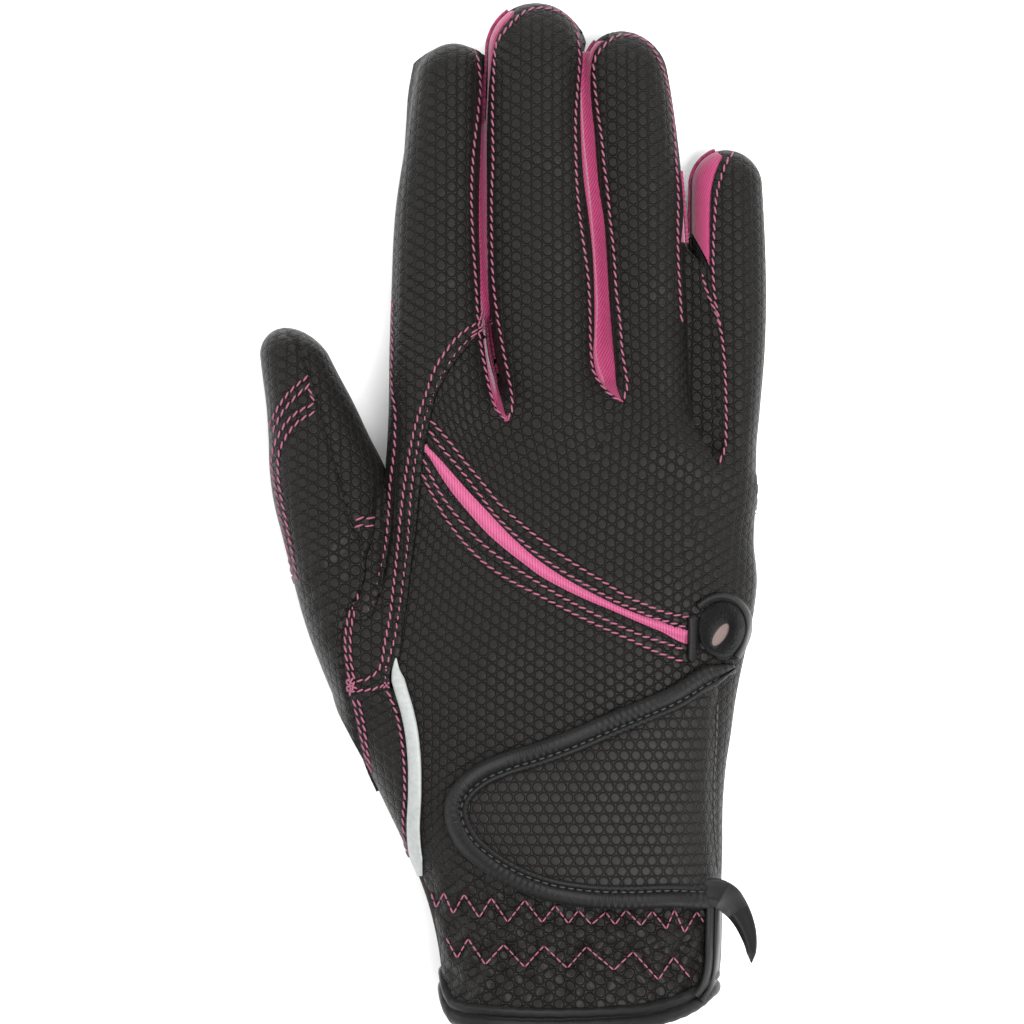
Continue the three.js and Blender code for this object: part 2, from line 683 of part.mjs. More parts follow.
// Panels: the shell parted by its seams
const midSlab = (height) => prism(everywhere, height - SEAM_GAP / 2, height + SEAM_GAP / 2);
const sideCut = midSlab(SIDE_SEAM_HEIGHT).subtract(joined([region.thumb, ...forks]));
const gussetCut = midSlab(GUSSET_HEIGHT).intersect(region.gusset).intersect(region.thumb);
const seamCuts = joined([
  ...forkLines.flat().map((line) => kerf(line)),
  kerf(thumbLine),
  kerf(knitLine),
  kerf(gussetLine, GUSSET_HEIGHT),
  ...[arcLine, indexLine, footLine, sideLine].map((line) => kerf(line, SIDE_SEAM_HEIGHT)),
  kerf([ventStart, ventTip, ...ventAbove, ventEnd, slitEnd], SIDE_SEAM_HEIGHT),
  kerf([ventTip, ...ventBelow, ventEnd], SIDE_SEAM_HEIGHT),
  sideCut,
  gussetCut,
]);
const panels = shell.subtract(seamCuts);
const hull = panels.subtract(joined([region.thumb, ...forks]));
const back = hull.intersect(prism(everywhere, SIDE_SEAM_HEIGHT));
const offIndexSide = back.subtract(region.indexSide);
const offIndex = offIndexSide.subtract(region.index);
const middleBack = offIndex.subtract(region.side).subtract(region.vent);
const thumbAll = panels.intersect(region.thumb);
const littleFork = panels.intersect(forks[2]);

// What lies on the leather: bands with a rounded back, and the strap's field between them
const ROUNDED_BACK = [
  { side: 0, up: 0 },
  { side: 1, up: 0 },
  { side: 1, up: 0.45 },
  { side: 0.75, up: 0.95 },
  { side: 0.25, up: 0.95 },
  { side: 0, up: 0.45 },
];

function bandSolid(left, right, thick, closed = false) {
  const ringAt = (k) =>
    ROUNDED_BACK.map(({ side, up }) => over(left[k].clone().lerp(right[k], side), LAY_GAP + up * thick));
  return loftSolid(left.map((_, k) => ringAt(k)), closed);
}

function sheetSolid(left, right, thick, columns) {
  const shares = evenly(0, 1, columns);
  const row = (k, lift) => shares.map((side) => over(left[k].clone().lerp(right[k], side), lift));
  const rings = left.map((_, k) => [...row(k, LAY_GAP), ...row(k, LAY_GAP + thick).reverse()]);
  return loftSolid(rings);
}

const lineBand = (line, thick, widthAt) => bandSolid(...sidesOf(line, widthAt), thick);

const PIPING_TIP = 0.2; // of its width, where it starts
const PIPING_WIDENS = 6; // widths gained over its length, until it is full
const pipingPath = curveOf(PIPING_LINE, TRIM_STEPS.piping);
const pipingWidth = (share) => PIPING_WIDTH * Math.min(1, PIPING_TIP + PIPING_WIDENS * share);

// The strap's edge runs from its stitched end along the lower side, round the nose and back above
const STRAP_STATIONS = [1, 0.975, 0.95, 0.91, 0.86, 0.8, 0.7, 0.58, 0.45, 0.33, 0.2, 0.1, 0.022];
function strapEdge(at, side) {
  const place = placeOf(STRAP_START);
  const wide = columnAt(STRAP_ROWS, "wide", at) / 2;
  const offset = columnAt(STRAP_ROWS, "middle", at) + side * wide;
  return new THREE.Vector2(place.x + at * STRAP_LENGTH, place.y + offset * STRAP_WIDTH);
}
const strapPath = [
  ...STRAP_STATIONS.map((at) => strapEdge(at, -1)),
  strapEdge(0, 0),
  ...STRAP_STATIONS.map((at) => strapEdge(at, 1)).reverse(),
];
const insetPath = (inset) => sidesOf(strapPath, () => 2 * inset)[1];
const fieldPath = insetPath(STRAP_BINDING_WIDTH + LAY_GAP);
const fieldSide = STRAP_STATIONS.length;
const fieldBelow = fieldPath.slice(0, fieldSide);
const fieldAbove = fieldPath.slice(-fieldSide).reverse();

const loopTurns = evenly(0, 2 * Math.PI, TRIM_STEPS.loop).slice(0, -1);
const strapCorner = strapEdge(1, 1);
const loopCentre = new THREE.Vector2(
  LOOP_ACROSS * PALM_WIDTH,
  strapCorner.y + LOOP_CLEARANCE + LOOP_LENGTH / 2,
);
const ellipse = (width, length, tilt) =>
  loopTurns.map((turn) => {
    const place = new THREE.Vector2((width / 2) * Math.cos(turn), (length / 2) * Math.sin(turn));
    return place.rotateAround(new THREE.Vector2(), tilt).add(loopCentre);
  });
const loopOuter = ellipse(LOOP_WIDTH, LOOP_LENGTH, 0);
const loopHole = ellipse(LOOP_HOLE_WIDTH, LOOP_HOLE_LENGTH, -LOOP_HOLE_TILT);

const barTop = placeOf(BAR_TOP);
const barFootX = barTop.x - BAR_LEAN * PALM_WIDTH;
const barAt = (barFootX - placeOf(STRAP_START).x) / STRAP_LENGTH;
const barLine = [barTop, new THREE.Vector2(barFootX, strapEdge(barAt, 1).y + BAR_CLEARANCE)];
const barPath = evenly(0, 1, TRIM_STEPS.bar).map((share) => barLine[0].clone().lerp(barLine[1], share));

// Binding of the wrist opening: a channel that takes the leather's edge between its two legs
const bindingReach = LAY_GAP + CUFF_BINDING_THICK;
const PAST = 1; // how far a cut runs past what it cuts
const legs = (low, high, reach) =>
  palmSolid([low, high], -reach, OUTSIDE_AROUND.palm).subtract(
    palmSolid([low - PAST, high + PAST], WALL + reach, INSIDE_AROUND.palm),
  );
const bindingBody = legs(0, CUFF_BINDING_WIDTH, bindingReach);
const channel = legs(CUFF_END - LAY_GAP, CUFF_BINDING_WIDTH + PAST, LAY_GAP);

// The tail leaves the wrist's edge sideways and curls down
const tailUp = TAIL_UP * PALM_LENGTH;
const tailPalm = palm.section(TAIL_UP);
const tailLine = TAIL_ROWS.map(({ out, down }) => {
  const edge = tailPalm.middle + tailPalm.half + LAY_GAP;
  return new THREE.Vector2(edge + out * TAIL_REACH, tailUp - down * TAIL_LENGTH);
});
const TAIL_AROUND = 10;
const tailRings = TAIL_ROWS.map(({ wide }, k) => {
  const before = tailLine[Math.max(k - 1, 0)];
  const after = tailLine[Math.min(k + 1, tailLine.length - 1)];
  const along = after.clone().sub(before).normalize();
  return evenly(0, 2 * Math.PI, TAIL_AROUND).slice(1).map((turn) => {
    const aside = ((wide * TAIL_WIDTH) / 2) * Math.cos(turn);
    const lift = (TAIL_THICK / 2) * Math.sin(turn);
    const place = tailLine[k].clone().add(new THREE.Vector2(-along.y, along.x).multiplyScalar(aside));
    return new THREE.Vector3(place.x, place.y, tailPalm.height + lift);
  });
});

// Each piece is its own mesh
const hand = new THREE.Group();
function addPiece(name, solid, look) {
  const { numProp, vertProperties, triVerts } = solid.getMesh();
  const geometry = new THREE.BufferGeometry();
  geometry.setAttribute("position", new THREE.BufferAttribute(vertProperties, numProp));
  geometry.setIndex(new THREE.BufferAttribute(triVerts, 1));
  const mesh = new THREE.Mesh(geometry, new THREE.MeshStandardMaterial(look));
  mesh.name = name;
  hand.add(mesh);
}

addPiece("palm_panel", hull.subtract(back), LEATHER);
addPiece("knuckle_panel", middleBack.intersect(region.knuckles), LEATHER);
addPiece("wrist_panel", middleBack.subtract(region.knuckles), LEATHER);
addPiece("side_panel", offIndex.intersect(region.side), LEATHER);
addPiece("index_panel", offIndexSide.intersect(region.index), LEATHER);
addPiece("index_side_panel", back.intersect(region.indexSide), LEATHER);
addPiece("thumb_panel", thumbAll.subtract(region.gusset), LEATHER);
addPiece("thumb_gusset", thumbAll.intersect(region.gusset), LEATHER);
addPiece("vent_insert", offIndex.intersect(region.vent), KNIT);
addPiece("fourchette_index_middle", panels.intersect(forks[0]), KNIT);
addPiece("fourchette_middle_ring", panels.intersect(forks[1]), KNIT);
addPiece("little_knit", littleFork.intersect(region.littleKnit), KNIT);
addPiece("little_gusset", littleFork.subtract(region.littleKnit), LEATHER);
addPiece("reflective_piping", lineBand(pipingPath, PIPING_THICK, pipingWidth), SILVER);
addPiece("strap_field", sheetSolid(fieldBelow, fieldAbove, STRAP_THICK, TRIM_STEPS.strap), LEATHER);
addPiece("strap_binding", bandSolid(strapPath, insetPath(STRAP_BINDING_WIDTH), STRAP_BINDING_THICK), SATIN);
addPiece("slit_bar", lineBand(barPath, BAR_THICK, () => BAR_WIDTH), SATIN);
addPiece("slit_loop", bandSolid(loopOuter, loopHole, LOOP_THICK, true), SATIN);
addPiece("cuff_binding", bindingBody.subtract(channel), SATIN);
addPiece("binding_tail", loftSolid(tailRings), SATIN);

// The origin goes to the middle of the underside
const box = new THREE.Box3().setFromObject(hand);
const centre = box.getCenter(new THREE.Vector3());
hand.position.set(-centre.x, -centre.y, -box.min.z);
const glove = new THREE.Group();
glove.add(hand);

export default glove;
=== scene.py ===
import math

import bmesh
import bpy
import numpy as np
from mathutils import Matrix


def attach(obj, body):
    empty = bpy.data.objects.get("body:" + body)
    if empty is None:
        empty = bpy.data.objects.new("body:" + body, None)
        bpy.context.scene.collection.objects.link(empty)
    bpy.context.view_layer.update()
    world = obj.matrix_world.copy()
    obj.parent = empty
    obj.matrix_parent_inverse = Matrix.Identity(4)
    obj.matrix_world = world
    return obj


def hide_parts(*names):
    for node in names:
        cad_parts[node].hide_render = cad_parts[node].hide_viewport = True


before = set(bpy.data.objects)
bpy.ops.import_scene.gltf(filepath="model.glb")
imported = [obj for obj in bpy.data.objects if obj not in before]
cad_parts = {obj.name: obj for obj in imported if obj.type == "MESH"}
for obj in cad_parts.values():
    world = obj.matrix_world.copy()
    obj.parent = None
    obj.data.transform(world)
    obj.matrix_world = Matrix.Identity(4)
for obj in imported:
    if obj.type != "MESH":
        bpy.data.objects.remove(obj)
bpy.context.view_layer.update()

# ---- Camera ----
# It looks straight down on the back of the glove from far off, as the photograph was taken.
VIEW_WIDTH = 0.2304
VIEW_HEIGHT = 1.5
VIEWED_LEVEL = 0.013  # the glove's outline lies at about this height

camera_data = bpy.data.cameras.new("camera")
camera_data.sensor_width = 36
camera_data.lens = 36 * (VIEW_HEIGHT - VIEWED_LEVEL) / VIEW_WIDTH
camera_data.clip_end = 20
camera = bpy.data.objects.new("camera", camera_data)
camera.location = (0, 0, VIEW_HEIGHT)
bpy.context.collection.objects.link(camera)
bpy.context.scene.camera = camera


# ---- Floor and studio light ----
# A plain pale table and three large soft lights: the key at the lower right, a weaker one on the thumb's side,
# and one beyond the fingertips.
def new_material(name):
    """A material with its nodes, its links and its shader."""
    material = bpy.data.materials.new(name)
    material.use_nodes = True
    nodes = material.node_tree.nodes
    return material, nodes, material.node_tree.links, nodes["Principled BSDF"]


def two_tones(nodes, links, shader, tone, lit, share):
    """Base colour between two colours."""
    tint = nodes.new("ShaderNodeMix")
    tint.data_type = "RGBA"
    tint.inputs["A"].default_value = (*tone, 1)
    tint.inputs["B"].default_value = (*lit, 1)
    links.new(share, tint.inputs["Factor"])
    links.new(tint.outputs["Result"], shader.inputs["Base Color"])


def press(nodes, links, shader, height, strength, distance):
    """Bump of a height in metres at its strength."""
    bump = nodes.new("ShaderNodeBump")
    bump.inputs["Strength"].default_value = strength
    bump.inputs["Distance"].default_value = distance
    links.new(height, bump.inputs["Height"])
    links.new(bump.outputs["Normal"], shader.inputs["Normal"])


def plain_material(name, colour, roughness):
    """A material of one colour with a faint cloudy change, mixed from noise over the object's own coordinates."""
    material, nodes, links, shader = new_material(name)
    shader.inputs["Roughness"].default_value = roughness
    place = nodes.new("ShaderNodeTexCoord")
    cloud = nodes.new("ShaderNodeTexNoise")
    cloud.inputs["Scale"].default_value = 3
    links.new(place.outputs["Object"], cloud.inputs["Vector"])
    two_tones(nodes, links, shader, colour, [0.97 * c for c in colour], cloud.outputs["Fac"])
    return material


FLOOR_HALF, FLOOR_LEVEL = 3.0, -0.0002
floor_mesh = bpy.data.meshes.new("floor")
floor_corners = [(-1, -1), (1, -1), (1, 1), (-1, 1)]
floor_mesh.from_pydata([(x * FLOOR_HALF, y * FLOOR_HALF, FLOOR_LEVEL) for x, y in floor_corners], [], [(0, 1, 2, 3)])
floor_mesh.materials.append(plain_material("pale_table", (0.96, 0.96, 0.96), 0.8))
floor = bpy.data.objects.new("floor", floor_mesh)
bpy.context.collection.objects.link(floor)


def soft_light(name, place, size, power):
    """A square area light at a place, turned to the origin."""
    data = bpy.data.lights.new(name, "AREA")
    data.size = size
    data.energy = power
    light = bpy.data.objects.new(name, data)
    light.location = place
    x, y, z = place
    light.rotation_euler = (math.atan2(math.hypot(x, y), z), 0, math.atan2(y, x) + math.pi / 2)
    bpy.context.collection.objects.link(light)


soft_light("key_light", (0.55, -0.35, 1.15), 1.0, 30)
soft_light("fill_light", (-0.9, 0.25, 0.9), 1.2, 12)
soft_light("rim_light", (0.2, 1.1, 0.8), 0.9, 10)
world = bpy.data.worlds.new("studio")
world.use_nodes = True
world.node_tree.nodes["Background"].inputs["Color"].default_value = (1, 1, 1, 1)
world.node_tree.nodes["Background"].inputs["Strength"].default_value = 0.95
bpy.context.scene.world = world
bpy.context.scene.view_settings.view_transform = "Standard"

# ---- Knuckle panel ----
# Black synthetic leather over the knuckles and the backs of three fingers, embossed with a close pattern of flat discs.
# It is sewn to the pink vent below it, to the index panel along the arc seam, and to the knit between the fingers.
PICTURE_MM = 0.225  # a picture point is this long on the glove
CUFF_MIDDLE = (578.5, 1022)  # the cuff's middle in picture points
GLOVE_SHIFT = np.array([15.09, -114.82, 0])  # from the cuff's middle to the frame's origin
PALM_LENGTH, PALM_WIDTH, PALM_DEPTH = 142.6, 83.8, 31
WRIST_WIDTH, WRIST_DEPTH = 62, 33
KNUCKLE_PEAK, LITTLE_DROP, INDEX_DROP, DROP_FROM = 0.085, 0.245, 0.07, 0.6
SECTION_POWER = 2.4
BLEND = 0.9  # how softly two tubes run into each other
LEATHER_THICK = 1.1

# share of the length, mix of wrist and palm sizes, left and right edge, middle height, depth
PALM_ROWS = np.array([
    (0, 0, -0.486, 0.486, 0.485, 1),
    (0.058, 0, -0.495, 0.495, 0.485, 1),
    (0.129, 0, -0.524, 0.51, 0.485, 0.98),
    (0.196, 0, -0.56, 0.513, 0.485, 0.96),
    (0.271, 0.25, -0.572, 0.477, 0.485, 0.97),
    (0.345, 0.5, -0.597, 0.443, 0.485, 1),
    (0.404, 0.7, -0.616, 0.427, 0.485, 1.02),
    (0.454, 0.85, -0.638, 0.423, 0.487, 1.03),
    (0.508, 1, -0.657, 0.419, 0.49, 1.04),
    (0.568, 1, -0.663, 0.439, 0.49, 1.03),
    (0.631, 1, -0.638, 0.463, 0.48, 1.01),
    (0.7, 1, -0.598, 0.477, 0.47, 0.97),
    (0.793, 1, -0.544, 0.469, 0.45, 0.92),
    (0.855, 1, -0.522, 0.471, 0.44, 0.88),
    (0.918, 1, -0.509, 0.479, 0.43, 0.83),
    (0.978, 1, -0.504, 0.485, 0.42, 0.7),
    (1, 1, -0.504, 0.485, 0.42, 0.62),
])
# share of the length, lean and width in shares of the finger's width
INDEX_ROWS = np.array([
    (0, 0.02, 1.3), (0.17, 0.12, 1.36), (0.24, 0.105, 1.3), (0.27, 0.062, 1.21), (0.33, 0.015, 1.11),
    (0.46, -0.01, 1.02), (0.67, 0, 0.92), (0.79, 0.05, 0.825), (0.9, 0.095, 0.75), (1, 0.16, 0.7),
])
MIDDLE_ROWS = np.array([
    (0, 0.165, 1.14), (0.18, 0.174, 1.107), (0.222, 0.165, 1.018), (0.25, 0.13, 0.978), (0.3, 0.06, 0.942),
    (0.42, 0.01, 1.004), (0.62, -0.043, 0.978), (0.75, -0.071, 0.911), (0.85, -0.074, 0.87), (1, -0.065, 0.86),
])
RING_ROWS = np.array([
    (0, 0.157, 1.24), (0.13, 0.192, 1.264), (0.18, 0.111, 1.103), (0.23, 0.083, 1.046), (0.265, 0.079, 0.994),
    (0.315, 0.048, 1.005), (0.45, 0.018, 0.998), (0.65, -0.058, 1.015), (0.84, -0.167, 1.005), (1, -0.265, 0.89),
])
LITTLE_ROWS = np.array([
    (0, -0.059, 0.83), (0.15, 0.021, 0.723), (0.22, 0.041, 0.709), (0.245, 0.051, 0.716), (0.32, 0.035, 0.817),
    (0.46, 0.041, 0.92), (0.59, 0.028, 0.985), (0.71, 0.01, 1.01), (0.81, -0.003, 0.997), (1, -0.019, 0.93),
])
THUMB_ROWS = np.array([
    (0, 0.466, 0.805), (0.102, 0.356, 0.856), (0.195, 0.267, 0.898), (0.289, 0.19, 0.915), (0.364, 0.144, 0.941),
    (0.447, 0.093, 0.975), (0.532, 0.042, 1.008), (0.612, 0, 0.992), (0.711, -0.083, 0.852), (0.786, -0.147, 0.758),
    (0.898, -0.263, 0.619), (1, -0.36, 0.5),
])
# share of the length, middle height and depth in shares of the depth
FINGER_SIDE = np.array([
    (0, 0.7, 1.3), (0.2, 0.7, 1.25), (0.46, 0.66, 1.04), (0.67, 0.58, 0.98), (0.9, 0.46, 0.9), (1, 0.42, 0.86),
])
THUMB_SIDE = np.array([(0, 0.63, 1.26), (0.3, 0.59, 1.18), (0.6, 0.52, 1.06), (0.8, 0.46, 0.94), (1, 0.39, 0.8)])


def cubic(stations, values, at):
    """Values at places between stations: a Hermite curve whose slopes are those of the row's neighbours."""
    slopes = np.gradient(values, stations, axis=0)
    at = np.clip(at, stations[0], stations[-1])
    low = np.clip(np.searchsorted(stations, at, "right") - 1, 0, len(stations) - 2)
    step = (stations[low + 1] - stations[low])[..., None]
    t = (at - stations[low])[..., None] / step
    rising = t * t * (3 - 2 * t)
    bend = step * (t * (1 - t) ** 2 * slopes[low] + t * t * (t - 1) * slopes[low + 1])
    return values[low] * (1 - rising) + values[low + 1] * rising + bend


def columns(rows, at):
    """The columns of a table at shares of the way, each by the same cubic."""
    found = cubic(rows[:, 0], rows[:, 1:], np.asarray(at, float))
    return np.moveaxis(found, -1, 0)


class Tube:
    """A finger or the thumb: a line along Y that leans, with a width and a depth that change and a round tip."""

    def __init__(self, rows, side, line, root, length, width, depth):
        self.rows, self.side, self.line, self.root = rows, side, line, root
        self.length, self.width, self.depth = length, width, depth
        self.tip = width * rows[-1, 2] / 2
        self.end = root + length

    def section(self, y):
        """Middle, half width, middle height and half depth at y; both halves shrink as a circle over the tip."""
        at = (y - self.root) / self.length
        lean, wide = columns(self.rows, at)
        rise, deep = columns(self.side, at)
        below = np.clip((self.end - y) / self.tip, 0, 1)
        share = np.sqrt(np.maximum(1 - (1 - below) ** 2, 0))
        middle = self.line + self.width * lean
        return middle, self.width * wide / 2 * share, self.depth * rise, self.depth * deep / 2 * share

    def height(self, x, y, side):
        middle, half, level, deep = self.section(y)
        z = superellipse(x, middle, half, level, deep, side)
        return z - side * (np.maximum(y - self.end, 0) * 4 + np.maximum(self.root - y, 0) * 0.6)


def superellipse(x, middle, half, level, deep, side):
    """Upper (side 1) or lower (side -1) height of |u|^p + |v|^p = 1, carried on past its edge the other way."""
    u = np.abs(x - middle) / np.maximum(half, 0.05)
    inside = 1 - u**SECTION_POWER
    lift = np.sign(inside) * np.abs(inside) ** (1 / SECTION_POWER)
    return level + side * np.maximum(deep, 0.05) * np.maximum(lift, -2.5)


class Palm:
    """The palm and wrist as one tube whose stations bend towards the cuff at both sides of the knuckles."""

    def share(self, x, y):
        off = (x - KNUCKLE_PEAK * PALM_WIDTH) / (PALM_WIDTH / 2)
        drop = np.where(off > 0, LITTLE_DROP, INDEX_DROP) * PALM_LENGTH * off**2
        at = y / PALM_LENGTH
        for _ in range(4):
            at = (y + drop * np.maximum(0, (at - DROP_FROM) / (1 - DROP_FROM)) ** 2) / PALM_LENGTH
        return at

    def section(self, x, y):
        at = self.share(x, y)
        mix, left, right, rise, deep = columns(PALM_ROWS, at)
        width = WRIST_WIDTH + (PALM_WIDTH - WRIST_WIDTH) * mix
        depth = WRIST_DEPTH + (PALM_DEPTH - WRIST_DEPTH) * mix
        return at, width * (left + right) / 2, width * (right - left) / 2, depth * rise, depth * deep / 2

    def height(self, x, y, side):
        at, middle, half, level, deep = self.section(x, y)
        z = superellipse(x, middle, half, level, deep, side)
        return z - side * np.maximum(at - 1, 0) * PALM_LENGTH * 1.3

    def edge(self, y, side):
        """Where the palm is widest at y."""
        x = np.full_like(y, side * PALM_WIDTH / 2)
        for _ in range(6):
            at, middle, half, _, _ = self.section(x, y)
            x = middle + side * half
        return x


palm = Palm()
FINGER_ROOT = 0.792 * PALM_LENGTH
index = Tube(INDEX_ROWS, FINGER_SIDE, -31.55, FINGER_ROOT, 107.7, 20.7, 18.5)
middle = Tube(MIDDLE_ROWS, FINGER_SIDE, -8.1, FINGER_ROOT, 116.8, 25.2, 19.5)
ring = Tube(RING_ROWS, FINGER_SIDE, 14.8, FINGER_ROOT, 110.5, 19.6, 18)
little = Tube(LITTLE_ROWS, FINGER_SIDE, 33.5, FINGER_ROOT, 83.7, 16.8, 15.5)
thumb = Tube(THUMB_ROWS, THUMB_SIDE, -56.48, 0.508 * PALM_LENGTH, 84, 26.5, 22)
tubes = [palm, index, middle, ring, little, thumb]


def seen(*points):
    """Places in millimetres from the cuff's middle, for places measured in the picture."""
    p = np.array(points, float)
    return np.stack([(p[:, 0] - CUFF_MIDDLE[0]) * PICTURE_MM, (CUFF_MIDDLE[1] - p[:, 1]) * PICTURE_MM], -1)


def line_through(points, count):
    """Equal steps along a cubic through the points."""
    p = np.asarray(points, float)
    far = np.r_[0, np.cumsum(np.linalg.norm(np.diff(p, axis=0), axis=1))]
    return cubic(far, p, np.linspace(0, far[-1], count))


def reach(line, y):
    """x of a line at heights y over the picture."""
    p = line_through(line, 300)
    p = p[np.argsort(p[:, 1])]
    return np.interp(y, p[:, 1], p[:, 0])


# Seam lines over the back, each with how deep and how wide the leather draws in along it
ARC_EDGE = seen(
    (481, 326), (474, 338), (462, 353), (449, 369), (439, 387), (432, 406), (428, 426), (424.5, 445),
    (421.5, 466), (419, 491), (416.5, 516), (414, 541), (411.3, 560), (409, 579), (407.5, 595), (405, 611),
    (402.5, 631), (400.6, 644), (398.5, 655), (394, 662.5), (390.6, 670), (390.3, 680), (391, 688)
)
SLIT_LINE = seen((686, 636), (700, 634), (725, 627), (752, 612))
INDEX_SEAM = seen(
    (412, 60), (407, 90), (405, 120), (403, 153), (401, 181), (397, 222), (395, 263), (395, 304),
    (394, 375), (396, 406), (397, 440), (394.4, 467), (392.5, 501), (390, 530), (387.5, 552), (384.4, 572),
    (378.8, 592), (375.6, 603), (371.3, 613), (365, 619)
)
THUMB_SEAM = seen(
    (278, 327), (291, 338), (300, 351), (306, 364), (311, 379), (316.5, 397), (323, 421), (329, 444),
    (339, 476), (344, 498), (349, 516), (362, 543)
)
FLAP_EDGE = seen(
    (387, 470), (378, 494), (376, 516), (374, 535), (370.6, 546), (367, 560), (367, 570), (364, 585),
    (359, 597), (352, 605), (346, 614), (343, 628), (341.5, 641), (343, 656), (345, 671), (348, 690),
    (351, 700), (355.5, 722), (361.5, 753), (367, 770), (376, 791)
)
PIPING_LINE = seen(
    (398, 657), (401, 678), (404, 696), (411, 724), (414.5, 753), (415, 791), (413.5, 830), (415, 852),
    (419, 874)
)
V_INDEX, V_MIDDLE, V_RING = (506.5, 421), (621, 402), (717, 465)
MIDDLE_LEFT = seen(
    V_INDEX, (500, 397), (495, 375), (490, 352), (487.5, 320), (486.5, 280), (486.5, 199), (486.5, 128),
    (489.5, 75), (493, 50), (496, 38), (503, 26), (512, 16)
)
MIDDLE_RIGHT = seen(
    V_MIDDLE, (606, 390), (598, 380), (593, 362), (593.5, 333), (593.5, 295), (592, 256), (588, 218),
    (583, 180), (580, 128), (581, 75), (583.5, 52), (586, 40)
)
RING_LEFT = seen(
    V_MIDDLE, (617, 392), (613.5, 362), (611, 333), (608, 295), (606, 256), (603, 218), (599, 194),
    (596, 161), (594, 133), (591, 105), (590, 75), (592, 58), (594, 51), (600, 43), (608, 37)
)
RING_RIGHT = seen(
    V_RING, (700, 438), (690, 419), (684, 398), (683, 370), (683, 323), (681.5, 295), (679, 256),
    (682.5, 218), (682, 190), (677.5, 150), (672.5, 107), (667, 82), (661, 64), (652, 48)
)
LITTLE_LEFT = seen(
    V_RING, (722, 445), (724, 400), (722, 355), (718, 322), (712, 297), (709.5, 275), (709, 245),
    (709.5, 215), (712, 184), (717, 167), (723, 155)
)
INDEX_RIGHT = seen(
    V_INDEX, (497, 410), (491.5, 393), (488, 375), (485, 355), (482, 336), (480.5, 314), (479.5, 263),
    (478.5, 230), (478.5, 199), (479.5, 166), (481.5, 134), (484, 108), (485.5, 84), (485.5, 66),
    (483, 53), (478, 47.5)
)
VENT_ABOVE = seen(
    (425, 444), (438, 457), (454, 475), (469, 492), (489, 513), (507, 532), (530, 553), (553, 570),
    (576, 584), (599, 596), (620, 606), (640, 614), (662, 621), (688, 628)
)
VENT_BELOW = seen(
    (424, 452), (431, 460), (440, 475), (454, 495), (469, 513), (486, 532), (504, 548), (522, 562),
    (538, 574), (561, 587), (584, 598), (610, 609), (635, 620), (659, 630), (688, 642)
)

seams = [
    (ARC_EDGE, 0.3, 0.5), (INDEX_SEAM, 0.5, 0.6), (THUMB_SEAM, 0.5, 0.7), (FLAP_EDGE, 0.6, 0.7),
    (MIDDLE_LEFT, 0.15, 0.6), (MIDDLE_RIGHT, 0.15, 0.6), (RING_LEFT, 0.15, 0.6), (RING_RIGHT, 0.15, 0.6),
    (LITTLE_LEFT, 0.15, 0.6), (INDEX_RIGHT, 0.15, 0.6), (VENT_ABOVE, 0.4, 0.7), (VENT_BELOW, 0.4, 0.7),
    (SLIT_LINE, 0.8, 0.9), (PIPING_LINE, 0.2, 2.0),
]
